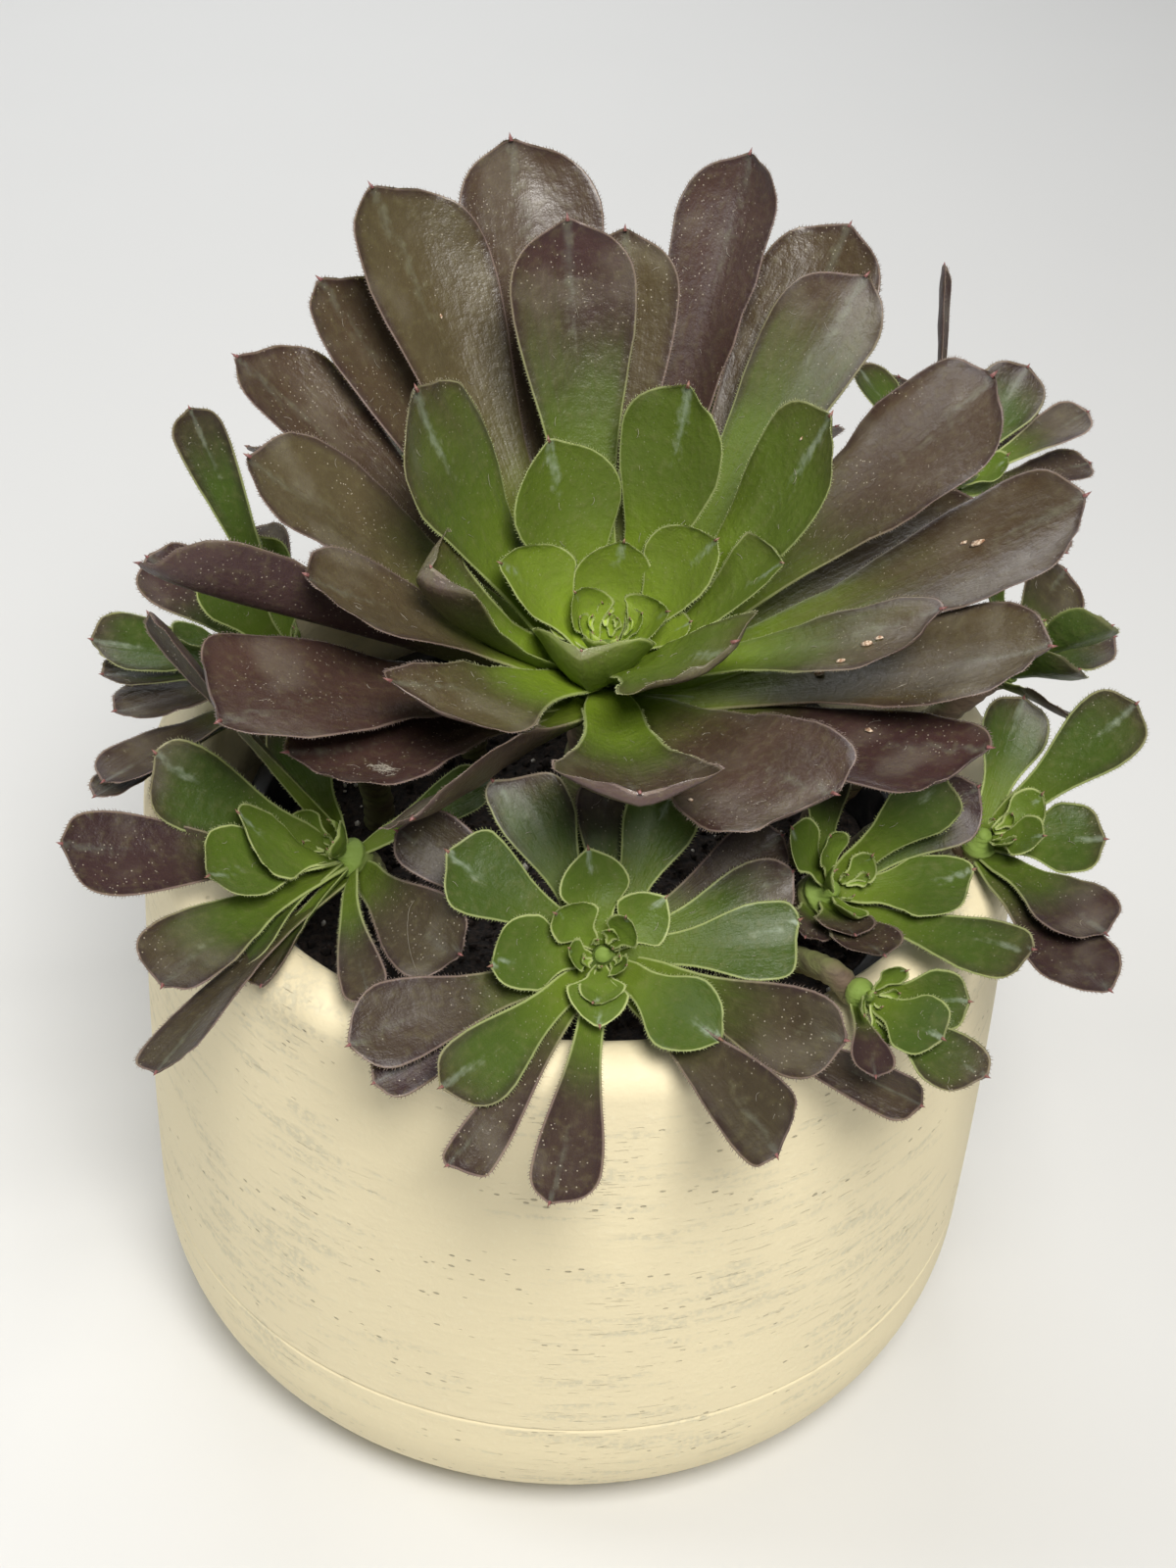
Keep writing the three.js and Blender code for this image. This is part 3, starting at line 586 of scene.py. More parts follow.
def soil_body(shape):
    base = POT_FLOOR_THICKNESS + NURSERY_WALL + 2 * SEAT_GAP
    angle = np.linspace(0, 2 * math.pi, SOIL_SIDES, endpoint=False)
    circle = np.stack([np.cos(angle), np.sin(angle)], -1)
    rows = [np.column_stack([circle * soil_radius(base), np.full(SOIL_SIDES, base)])]
    for share in np.linspace(1, 0.02, 40):
        flat = circle * soil_radius(SOIL_EDGE) * share
        rows.append(np.column_stack([flat, soil_top(flat[:, 0], flat[:, 1])]))
    low, high = len(rows) * SOIL_SIDES, len(rows) * SOIL_SIDES + 1
    last = (len(rows) - 1) * SOIL_SIDES
    faces = grid_faces(len(rows), SOIL_SIDES, closed=True)
    faces += [(low, (j + 1) % SOIL_SIDES, j) for j in range(SOIL_SIDES)]
    faces += [(high, last + j, last + (j + 1) % SOIL_SIDES) for j in range(SOIL_SIDES)]
    ends = [[0, 0, base], [0, 0, float(soil_top(0, 0))]]
    shape.add(np.concatenate(rows + [ends]), faces)


soil = Shape()
soil_body(soil)
print("the soil's top is at", float(soil_top(0, 0).round(1)), "mm")

# %% [markdown]
# ## Crumbs and perlite
# Perlite is a white, popped mineral that keeps peat airy. Each grain is an icosahedron whose corners
# are pushed in and out at random, and that is enough at one or two millimetres. The grains are
# scattered evenly over the round surface, half sunk in it.

# %% Scatter the grains
CRUMBS = 1500
PERLITE_GRAINS = 200
GOLDEN_RATIO = (1 + math.sqrt(5)) / 2
STONE_CORNERS = unit(np.array(
    [np.roll((0, a, b * GOLDEN_RATIO), k) for k in range(3) for a in (-1, 1) for b in (-1, 1)]))


def stone_faces():
    """Every three corners that lie next to each other, in order as seen from outside."""
    faces = []
    for i in range(12):
        for j in range(i + 1, 12):
            for k in range(j + 1, 12):
                a, b, c = STONE_CORNERS[[i, j, k]]
                if max(np.linalg.norm(a - b), np.linalg.norm(b - c), np.linalg.norm(c - a)) < 1.2:
                    outward = np.dot(np.cross(b - a, c - a), a + b + c) > 0
                    faces.append((i, j, k) if outward else (i, k, j))
    return faces


def scatter(shape, count, smallest, largest, look):
    """Adds grains whose sizes lie between the two, most of them near the smallest."""
    faces = stone_faces()
    reach = soil_radius(SOIL_EDGE) - 1.5
    for _ in range(count):
        size = smallest + (largest - smallest) * chance.random() ** 2.5
        a, out = chance.uniform(0, 2 * math.pi), reach * math.sqrt(chance.random())
        x, y = out * math.cos(a), out * math.sin(a)
        corners = STONE_CORNERS * chance.uniform(0.7, 1.15, (12, 1)) * chance.uniform(0.6, 1, 3)
        middle = np.array([x, y, float(soil_top(x, y)) + size * chance.uniform(-0.05, 0.3)])
        shape.add(corners * size / 2 + middle, faces, look)


def soil_finish():
    f = Finish("potting_soil")
    damp, crumb = f.noise(f.place(), 14, 3), f.noise(f.place(), 1.4, 6)
    color = f.mix(f.step(crumb, 0.35, 0.7), paint(24, 19, 17), paint(66, 53, 44))
    color = f.mix(damp * 0.5, color, paint(30, 25, 23))
    rough = 0.8 + crumb * 0.2
    return f.shade(Base_Color=color, Roughness=rough, Normal=f.bump(crumb, 1.2))


def perlite_finish():
    f = Finish("perlite")
    pore = f.noise(f.place(), 0.7, 4)
    color = f.mix(f.step(pore, 0.35, 0.65), paint(176, 168, 156), paint(238, 234, 226))
    return f.shade(Base_Color=color, Roughness=0.7 + pore * 0.25, Normal=f.bump(pore, 0.3))


scatter(soil, CRUMBS, 1.2, 4.5, 0)
scatter(soil, PERLITE_GRAINS, 0.9, 3.8, 1)
soil.piece("potting_mix", [soil_finish(), perlite_finish()], "potting_soil", "potting_soil")

# %% [markdown]
# ## The leaf as flat cloth
# An aeonium leaf is a spoon: a narrow neck, a broad blade and a blunt end with a small point, the
# mucro. It is easiest to think of it as a flat outline first. Here u runs from root to tip and v across,
# both in millimetres. The end follows a superellipse, which goes from round to nearly square with one
# number. A slant pushes one corner of the end forward, as many of these leaves have it.

# %% Draw the outline
LEAF_ROOT_WIDTH = 0.2
LEAF_NECK_WIDTH = 0.4
LEAF_NECK_AT = 0.2
LEAF_END_LENGTH = 0.48
LEAF_SPREAD_LATE = 1.45
LEAF_ROOT_THICKNESS = 0.1
LEAF_BLADE_THICKNESS = 0.06
LEAST_THICKNESS = 1.1
SLANT_SHEAR = 0.55
MUCRO_PULL = 0.055
MUCRO_REACH = 0.11
MUCRO_TURN = 42
TIP_THINNING = 0.5
GLINT_LINE_END = 0.64


class Outline:
    """The flat form of one leaf."""

    def __init__(self, length, width, slant, blunt, end=LEAF_END_LENGTH):
        self.length, self.width, self.slant, self.blunt = length, width, slant, blunt
        self.widest_at = 1 - end * width / length
        corner = math.radians(90 - MUCRO_TURN * abs(slant))
        self.mucro = np.array([
            self.end_at(math.sin(corner) ** (2 / blunt)) * length,
            math.copysign(width / 2 * math.cos(corner) ** (2 / blunt), slant)])
        self.outward = unit(self.mucro - (self.widest_at * length, 0))

    def end_at(self, past):
        """Where along the leaf the rounding of the end has got to, from 0 to 1."""
        return self.widest_at + (1 - self.widest_at) * past

    def half(self, s):
        """Half the width at s, from 0 at the root to 1 at the tip, before the end rounds it off."""
        neck = LEAF_ROOT_WIDTH + (LEAF_NECK_WIDTH - LEAF_ROOT_WIDTH) * np.minimum(1, s / LEAF_NECK_AT)
        t = np.clip((s - LEAF_NECK_AT) / (self.widest_at - LEAF_NECK_AT), 0, 1) ** LEAF_SPREAD_LATE
        return self.width / 2 * (neck + (1 - neck) * t * t * (3 - 2 * t))

    def thick(self, s):
        part = LEAF_ROOT_THICKNESS + (LEAF_BLADE_THICKNESS - LEAF_ROOT_THICKNESS) * np.minimum(s / 0.6, 1)
        return np.maximum(min(LEAST_THICKNESS, 0.12 * self.width), part * self.width)

    def swell(self, s):
        """How far the middle of a face rises from the leaf's own plane."""
        return self.thick(s) / 2 * (1 - TIP_THINNING * smooth(self.widest_at - 0.2, 1, s))

    def rows(self, body, end):
        """Where the rows of the mesh lie, and half the width there. They crowd towards the tip."""
        bow = np.linspace(0, 0.485 * math.pi, end)
        s = np.concatenate([np.linspace(0, self.widest_at, body, endpoint=False),
                            self.end_at(np.sin(bow) ** (2 / self.blunt))])
        narrow = np.concatenate([np.ones(body), np.cos(bow) ** (2 / self.blunt)])
        return s, self.half(s) * narrow

    def to_edge(self, s, x, half):
        """How far a point lies from the margin, in millimetres."""
        share = np.clip(np.abs(x * half) * 2 / self.width, 0, 1)
        end = self.end_at((1 - share ** self.blunt) ** (1 / self.blunt))
        return np.minimum(half * (1 - np.abs(x)), np.maximum(0, end - s) * self.length)

    def crest(self, u, v):
        """The painted glint's line: 1 from the mucro a third of the way into the blade, 0 away from it."""
        start, end = self.mucro, np.array([GLINT_LINE_END * self.length, 0.0])
        span = end - start
        t = np.clip(((u - start[0]) * span[0] + (v - start[1]) * span[1]) / np.dot(span, span), 0, 1)
        off = np.hypot(u - start[0] - t * span[0], v - start[1] - t * span[1]) / self.width
        return np.exp(-(off / (0.05 + 0.1 * t)) ** 2) * (1 - t) ** 0.7

    def formed(self, u, v):
        """Moves flat points for the slanted end and for the pulled-out mucro."""
        u = u + self.slant * SLANT_SHEAR * v * smooth(0.5, 0.9, u / self.length)
        near = self.mucro + (self.slant * SLANT_SHEAR * self.mucro[1], 0)
        far = np.hypot(u - near[0], v - near[1]) / (MUCRO_REACH * self.width)
        pull = MUCRO_PULL * self.width * np.exp(-far ** 2)
        return u + pull * self.outward[0], v + pull * self.outward[1]


trial = Outline(100, 34, 0.3, 2.6)
print("widest at", round(trial.widest_at, 2), "of its length, mucro at", trial.mucro.round(1), "mm")

# %% [markdown]
# ## The leaf in space
# Now the flat cloth is laid on its real path. The midrib is an arc from the root to the tip, so a
# single curl bends the whole leaf. Roll turns the blade about the midrib, and cup lifts its margins
# like a spoon. Ripples dent the blade a little, and the margin waves more than the middle. Everything
# that grows on the leaf goes through the same function, so it can't come loose from the surface.

# %% Bend a leaf
DENT_DEPTH = 0.005
FINE_DENT_DEPTH = 0.002
MARGIN_WAVE = 0.014


class Leaf:
    """One leaf. row is: azimuth, rise, length, width, curl, roll, cup, purple, slant, blunt, end."""

    def __init__(self, root, axis, row, heart=0.0):
        azimuth, rise, length, width, curl, roll, cup, self.purple, *end_form = row
        self.outline = Outline(length, width, *end_form)
        self.root, self.length, self.width, self.heart = root, length, width, heart
        self.chord = direction(azimuth, rise)
        self.side = unit(np.cross(axis, self.chord))
        self.face = np.cross(self.chord, self.side)
        self.turn = math.radians(curl or 0.1)
        self.roll, self.lift = math.radians(roll), math.tan(math.radians(cup))
        self.dents, self.fine = ripples(0.45 * width), ripples(0.16 * width)
        self.waves = ripples(0.55 * width, 4)
        self.tone = chance.random()

    def lay(self, u, v, x, half, height=0.0):
        """Points in space for flat points. x is -1 and 1 at the margins, half is half the width."""
        u, v, x, half = np.broadcast_arrays(*(np.asarray(a, float) for a in (u, v, x, half)))
        u, v = self.outline.formed(u, v)
        s = u / self.length
        out_of_neck = smooth(0.2, 0.6, s)
        height = height + self.lift * half * (np.abs(x) ** 1.5 - 0.4)
        height = height + out_of_neck * self.width * (
            DENT_DEPTH * self.dents(u, v) + FINE_DENT_DEPTH * self.fine(u, v)
            + MARGIN_WAVE * np.abs(x) ** 3 * self.waves(u, 3 * v))
        now = self.turn * (s - 0.5)
        radius = self.length / (2 * math.sin(self.turn / 2))
        along = radius * (np.sin(now) + math.sin(self.turn / 2))
        rise = radius * (math.cos(self.turn / 2) - np.cos(now))
        level = self.face * np.cos(now)[..., None] - self.chord * np.sin(now)[..., None]
        twist = (self.roll * np.clip(s / 0.5, 0, 1))[..., None]
        out = self.side * np.cos(twist) + level * np.sin(twist)
        above = level * np.cos(twist) - self.side * np.sin(twist)
        middle = self.root + self.chord * along[..., None] + self.face * rise[..., None]
        return middle + out * v[..., None] + above * np.asarray(height)[..., None]


print("a leaf row holds", Leaf.__doc__.split(": ")[1])

# %% [markdown]
# ## The blade
# A blade is a flattened tube: rings of points run round the leaf from the root to the tip. Spacing the
# ring by equal angles crowds the points at the margins, exactly where the outline and the pale rim
# need them. The root is hidden in the crown, and the tip closes in one point.

# %% Make the blade
def add_blade(shape, leaf, around, body, end):
    outline = leaf.outline
    s, half = outline.rows(body, end)
    ring = np.linspace(0, 2 * math.pi, around, endpoint=False)
    s, half, x, up = s[:, None], half[:, None], np.cos(ring)[None, :], np.sin(ring)[None, :]
    closing = np.sqrt(np.clip(half / outline.half(s), 0, 1))
    height = outline.swell(s) * up * closing
    points = leaf.lay(s * leaf.length, x * half, x, half, height)
    tip = leaf.lay(leaf.length, 0, 0, 0)
    root = leaf.lay(0, 0, 0, 0)
    rows = len(s)
    faces = grid_faces(rows, around, closed=True)
    first, last, start = rows * around, rows * around + 1, (rows - 1) * around
    faces += [(first, (j + 1) % around, j) for j in range(around)]
    faces += [(last, start + j, start + (j + 1) % around) for j in range(around)]

    def spread(values, at_root, at_tip):
        return np.append(np.broadcast_to(values, (rows, around)).ravel(), [at_root, at_tip])
    shape.add(np.concatenate([points.reshape(-1, 3), [root, tip]]), faces,
              along=spread(s, 0, 1), edge=spread(outline.to_edge(s, x, half), 3, 0),
              upper=spread(up > -0.01, 1, 1), across=spread(x, 0, 0),
              crest=spread(outline.crest(s * leaf.length, x * half), 0, 1),
              purple=leaf.purple, heart=leaf.heart, tone=leaf.tone)


print("a ring of 32 points on 26 rows makes", 2 * 32 * 26, "triangles")

# %% [markdown]
# ## Marginal hairs and the mucro
# The margin of an aeonium leaf is fringed with stiff hairs under a millimetre long. From a step away
# they melt into a pale frosted rim, and from near they can be counted, so they are real three-sided
# spikes. They are spaced evenly along the outline, and lean a little towards the tip.

# %% Grow the hairs
HAIR_SPACING = 0.8
HAIR_LENGTH = 0.62
HAIR_THICKNESS = 0.11
HAIR_LEAN = 0.45
SPIKE_FACES = np.array([[0, 1, 3], [1, 2, 3], [2, 0, 3], [0, 2, 1]])


def margin(leaf, sign):
    """Points spaced evenly along one margin: s, half the width, and the outward direction."""
    s, half = leaf.outline.rows(40, 40)
    u, v = s * leaf.length, sign * half
    way = np.concatenate([[0], np.cumsum(np.hypot(np.diff(u), np.diff(v)))])
    places = np.arange(way[s > 0.2][0], way[-1], HAIR_SPACING)
    places = places + chance.uniform(-0.25, 0.25, len(places)) * HAIR_SPACING
    ahead, outer = np.interp(places + 0.3, way, u), np.interp(places + 0.3, way, v)
    u, v = np.interp(places, way, u), np.interp(places, way, v)
    tangent = unit(np.stack([ahead - u, outer - v], -1) + 1e-9)
    return u, v, tangent, np.stack([-tangent[:, 1], tangent[:, 0]], -1) * sign


def add_hairs(shape, leaf):
    for sign in (-1, 1):
        u, v, tangent, outward = margin(leaf, sign)
        length = HAIR_LENGTH * min(1, 0.4 + leaf.length / 60) * chance.uniform(0.5, 1.25, len(u))
        lean, half, thin = HAIR_LEAN * tangent + outward, np.abs(v), HAIR_THICKNESS
        corners = [(u - tangent[:, 0] * thin, v - tangent[:, 1] * thin, 0),
                   (u + tangent[:, 0] * thin, v + tangent[:, 1] * thin, 0),
                   (u - outward[:, 0] * thin, v - outward[:, 1] * thin, 1.6 * thin),
                   (u + lean[:, 0] * length, v + lean[:, 1] * length, chance.uniform(-0.2, 0.3, len(u)))]
        spikes = np.stack([leaf.lay(a, b, sign, half, h) for a, b, h in corners], 1)
        faces = (np.arange(len(u))[:, None, None] * 4 + SPIKE_FACES).reshape(-1, 3)
        shape.add(spikes, faces, along=np.repeat(u / leaf.length, 4), edge=0, upper=1,
                  hair=1, purple=leaf.purple, heart=leaf.heart, tone=leaf.tone)


def add_mucro(shape, leaf):
    """The small pinkish point at the leaf's end, a five-sided cone."""
    outline = leaf.outline
    u, v = outline.mucro
    size = 0.012 * leaf.width + 0.28
    half = abs(v)
    turn = np.linspace(0, 2 * math.pi, 5, endpoint=False)
    aside = np.array([-outline.outward[1], outline.outward[0]])
    base = np.array([u, v]) - outline.outward * size
    ring = leaf.lay(base[0] + aside[0] * size * np.cos(turn), base[1] + aside[1] * size * np.cos(turn),
                    np.sign(v), half, size * np.sin(turn))
    apex = leaf.lay(*(base + outline.outward * size * 3.6), np.sign(v), half)
    faces = [(j, (j + 1) % 5, 5) for j in range(5)] + [(4, 3, 2, 1, 0)]
    shape.add(np.concatenate([ring, [apex]]), faces, along=1, edge=0, upper=1,
              mucro=1, purple=leaf.purple, heart=leaf.heart, tone=leaf.tone)


print("hairs every", HAIR_SPACING, "mm")

# %% [markdown]
# ## Stems
# Each rosette stands on a fleshy stem that turns woody as it ages and keeps the scars of fallen leaves.
# A tube along a smooth curve gives the form, and a ripple in its radius gives the scars. A bevelled
# curve object could do it too, but the scars need the mesh.

# %% Sweep a tube
def smooth_path(points, steps):
    """A curve through the points (Catmull and Rom's)."""
    p = np.array([2 * points[0] - points[1], *points, 2 * points[-1] - points[-2]])
    path = []
    for i in range(1, len(p) - 2):
        for t in np.linspace(0, 1, steps, endpoint=False):
            a, b, c, d = p[i - 1:i + 3]
            path.append(0.5 * (2 * b + (c - a) * t + (2 * a - 5 * b + 4 * c - d) * t ** 2
                               + (3 * b - a - 3 * c + d) * t ** 3))
    return np.array(path + [p[-2]])


def add_tube(shape, path, radius, sides, look=0, **numbers):
    """A closed tube. radius is one number or one for each point of the path."""
    path = np.asarray(path, float)
    tangent = unit(np.gradient(path, axis=0))
    side = unit(np.cross(tangent[0], [0.3, 0.9, 0.31]))
    radius = np.broadcast_to(radius, (len(path),))
    angle = np.linspace(0, 2 * math.pi, sides, endpoint=False)
    rings = []
    for point, ahead, r in zip(path, tangent, radius):
        side = unit(side - ahead * np.dot(side, ahead))
        over = np.cross(ahead, side)
        rings.append(point + r * (np.outer(np.cos(angle), side) + np.outer(np.sin(angle), over)))
    faces = grid_faces(len(path), sides, closed=True)
    faces += [tuple(range(sides))[::-1], tuple((len(path) - 1) * sides + j for j in range(sides))]
    shape.add(np.concatenate(rings), faces, look, **numbers)


print("tubes are closed at both ends")

# %% [markdown]
# ## How a leaf gets its colour
# An aeonium makes its purple pigment where the sun reaches: at the outer end of the old leaves. The
# base and the young heart stay green. So one number for each leaf says how far the purple has spread,
# and the finish works out the rest from the numbers on the mesh: how far along the leaf a point lies,
# how near the margin, and whether it is the upper face, a hair or the mucro. Two pale marks near the
# tip are painted light: patches of soft sheen, and a glint that runs in from the mucro.

# %% Finish the leaves
def leaf_finish(name, heart, lime, green, deep, purple, dark, pale_under, shine):
    f = Finish(name)
    at = f.place()
    along, edge, upper = f.stored("along"), f.stored("edge"), f.stored("upper")
    hair, mucro, reach, young = f.stored("hair"), f.stored("mucro"), f.stored("purple"), f.stored("heart")
    tone = f.stored("tone")
    cloth = f.node("CombineXYZ", None, {"X": along * 0.016, "Y": f.stored("across") * 0.026, "Z": tone})
    mottle, grain, skin = f.noise(at, 17, 4), f.noise(at, 0.5, 3), f.noise(at, 2.2, 4)
    streak = f.noise(cloth, 2.4, 3)
    start = 0.95 - 0.95 * reach
    share = f.step(along + (mottle - 0.5) * 0.4 + (streak - 0.5) * 0.14, start, start + 0.5)
    color = f.mix(f.step(along, 0.12, 0.72), lime, green)
    color = f.mix(tone * 0.35 + mottle * 0.4, color, deep)
    color = f.mix(young, color, heart)
    color = f.mix(share * (0.72 + 0.28 * tone), color, f.mix(mottle * 0.6 + tone * 0.4, purple, dark))
    rim = f.step(edge, 3.4, 0.3) * f.step(reach, 0.05, 0.4) * f.step(along, 0.4, 0.8)
    color = f.mix(rim * 0.75, color, dark)
    under = f.mix(share, pale_under, paint(74, 57, 57))
    color = f.mix((1 - upper) * (0.6 - 0.45 * f.step(young, 0, 0.1)), color, under)
    wax = f.step(skin, 0.45, 0.8) * 0.18 + f.step(streak, 0.5, 0.8) * 0.05
    color = f.mix(wax, color, paint(128, 122, 82))
    speck = f.step(f.cells(at, 1.3), 0.17, 0.07) * f.step(f.noise(at, 21, 2), 0.4, 0.6)
    color = f.mix(speck * (0.2 + 0.5 * share), color, paint(206, 196, 176))
    # painted sheen: pale grey patches on the upper face near the tip stand in for a soft reflection, and
    # the same patches are a little smoother
    painted_sheen = f.step(f.noise(at, 19, 2), 0.5, 0.7) * f.step(along, 0.5, 0.85) * upper * (1 - hair)
    color = f.mix(painted_sheen * (0.02 + 0.16 * share), color, paint(164, 158, 140))
    # painted highlight: a pale silver streak from the mucro inward stands in for a glint of light near the
    # tip
    glint = f.step(f.stored("crest") + (streak - 0.5) * 0.5 + (skin - 0.5) * 0.9, 0.35, 0.95) * upper
    color = f.mix(glint * (0.45 - 0.35 * share), color, paint(178, 192, 172))
    frost = f.mix(share, paint(186, 196, 132), paint(152, 132, 122))
    pale_rim = f.step(edge, 0.7, 0.3) * (0.15 + 0.4 * upper + 0.25 * f.step(young, 0, 0.2))
    color = f.mix(pale_rim, color, frost)
    color = f.mix(hair * 0.9, color, frost)
    color = f.mix(mucro * 0.85, color, paint(142, 92, 90))
    gloss = f.step(along, 0.45, 0.95) * upper * (1 - hair)
    rough = 0.42 + (skin - 0.5) * 0.3 + (streak - 0.5) * 0.16 - gloss * 0.08 - painted_sheen * 0.06 + hair * 0.3
    relief = grain * 0.2 + skin * 0.7 + streak * 0.3
    return f.shade(Base_Color=color, Roughness=rough, Coat_Weight=gloss * shine * 0.7, Coat_Roughness=0.22,
                   Normal=f.bump(relief, 0.42), Specular_IOR_Level=shine,
                   Subsurface_Weight=0.12, Subsurface_Radius=(1.0, 1.0, 0.3), Subsurface_Scale=0.0015)


def stem_finish():
    f = Finish("stem_bark")
    bark, ring = f.noise(f.place((1, 1, 3)), 4, 5), f.noise(f.place(), 16, 2)
    color = f.mix(f.step(ring, 0.35, 0.65), paint(112, 116, 70), paint(104, 86, 68))
    color = f.mix(f.step(bark, 0.45, 0.7) * 0.6, color, paint(70, 56, 46))
    color = f.mix(f.stored("heart"), color, paint(122, 146, 62))
    return f.shade(Base_Color=color, Roughness=0.65 + bark * 0.2, Normal=f.bump(bark, 0.6))


bark = stem_finish()
purple_leaf = leaf_finish("purple_leaf", heart=paint(180, 208, 68), lime=paint(150, 178, 44),
                          green=paint(92, 110, 38), deep=paint(62, 76, 32), purple=paint(94, 66, 60),
                          dark=paint(58, 40, 40), pale_under=paint(92, 112, 50), shine=0.36)
green_leaf = leaf_finish("green_leaf", heart=paint(118, 142, 50), lime=paint(112, 132, 42),
                         green=paint(74, 93, 34), deep=paint(52, 70, 30), purple=paint(80, 57, 56),
                         dark=paint(52, 37, 39), pale_under=paint(80, 100, 48), shine=0.13)
print("leaf finish has", len(purple_leaf.node_tree.nodes), "nodes")

# %% [markdown]
# ## One rosette
# A rosette is a crown with leaves round it: the oldest are rooted lowest and lie flattest, and the
# young ones in the middle follow each other by the golden angle, 137.5 degrees, so that no two stand
# in line. Most of the listed leaves are ones the photograph shows, and some at the back are guessed.
# The golden angle alone would give a tidy plant, but not this one. The smallest leaves of the bud are
# added by rule.

# %% Grow a rosette
GOLDEN_ANGLE = 137.5
YOUNG_AGE = 0.12
YOUNG_LIGHT = 0.45
LISTED_LIGHT = 0.4
YOUNG_BEND = (16, 22)
BUD_BEND = (62, 34)
LEAF_GRID = {"large": (32, 16, 10), "small": (24, 11, 8)}
SMALL_LEAF = 60
STEM_SIDES = 18
STEM_INTO_SOIL = 14
SCAR_DEPTH = 0.07
SCAR_PACE = 1.9


def tilted(axis, azimuth, rise):
    """The azimuth and rise of a direction that was given about the axis instead of about +Z."""
    turn = Vector((0, 0, 1)).rotation_difference(Vector(axis))
    way = turn @ Vector(direction(azimuth, rise))
    return math.degrees(math.atan2(way.y, way.x)), math.degrees(math.asin(way.z))


def rooted(head, axis, row, age, heart=0.0):
    """A leaf on the crown. Older leaves sit lower."""
    out = direction(row[0], row[1])
    out = unit(out - axis * np.dot(out, axis))
    root = np.array(head["crown"]) - axis * head["drop"] * age + out * head["core"] * 0.5
    return Leaf(root, axis, row, heart)


def young_rows(axis, bend, count, length, width, rise, turn):
    """Rows for leaves that follow each other by the golden angle. bend is their curl and cup."""
    for i in range(count):
        t = i / (count - 1)
        azimuth, climb = tilted(axis, turn + GOLDEN_ANGLE * i, rise[0] + (rise[1] - rise[0]) * t)
        size = [a + (b - a) * t for a, b in (length, width)]
        yield [azimuth, climb, *size, bend[0], 0, bend[1], 0, 0.4 * (-1) ** i, 2.4]


def head_leaves(head, axis):
    listed = head["leaves"]
    leaves = []
    for i, row in enumerate(listed):
        age, light = 1 - 0.85 * i / len(listed), LISTED_LIGHT * smooth(0.7, 1, i / len(listed))
        leaves.append(rooted(head, axis, row, age, light))
    for row in young_rows(axis, YOUNG_BEND, *head["young"]):
        leaves.append(rooted(head, axis, row, YOUNG_AGE, YOUNG_LIGHT))
    for row in young_rows(axis, BUD_BEND, *head["bud"]):
        leaves.append(rooted(head, axis, row, 0, 1.0))
    return leaves


def add_stem(shape, head, axis):
    """From inside the crown down into the soil, with rings where leaves have fallen."""
    crown, drop = np.array(head["crown"], float), head["drop"]
    foot = [*head["stem"][-1][:2], SOIL_HEIGHT - STEM_INTO_SOIL]
    points = [crown - axis * drop * down for down in (0.12, 0.5, 1.15)] + [*head["stem"], foot]
    path = smooth_path([np.array(p, float) for p in points], 12)
    way = np.concatenate([[0], np.cumsum(np.linalg.norm(np.diff(path, axis=0), axis=1))])
    thin, thick = head["stem_radius"], head["core"]
    radius = thin + (thick - thin) * smooth(1.3 * drop, 0.5 * drop, way)
    scars = 1 + SCAR_DEPTH * np.sin(way * SCAR_PACE) ** 3
    radius = radius * (0.35 + 0.65 * smooth(0, 0.5 * drop, way)) * scars
    green = np.repeat(smooth(drop, 0.3 * drop, way), STEM_SIDES)
    add_tube(shape, path, radius, STEM_SIDES, look=1, heart=green)


def grow(name, head, slot, finish):
    azimuth, tilt = head["lean"]
    axis = direction(azimuth, 90 - tilt)
    shape = Shape()
    leaves = head_leaves(head, axis)
    for leaf in leaves:
        add_blade(shape, leaf, *LEAF_GRID["small" if leaf.length < SMALL_LEAF else "large"])
        add_hairs(shape, leaf)
        add_mucro(shape, leaf)
    add_stem(shape, head, axis)
    shape.piece(name + "_foliage", [finish, bark], slot, name)
    return leaves


print("the golden angle keeps", round(GOLDEN_ANGLE * 8 % 360, 1), "degrees between leaf 0 and leaf 8")

# %% [markdown]
# ## The main rosette
# The rows run from the oldest leaf to the youngest, and the first two fill gaps at the back. After the
# cup come three numbers for looks: how far purple has spread, which corner carries the mucro, and how
# square the end is, from about 2.3 for round to 5 for cut off straight. Where there is one more, it is
# the length of the rounded end as a share of the width. Many rows of the three leaf tables came from
# separate fitting scripts, which matched leaf outlines to the photograph. In most others a helper
# script worked out azimuth, rise and length. Both kinds were rounded.

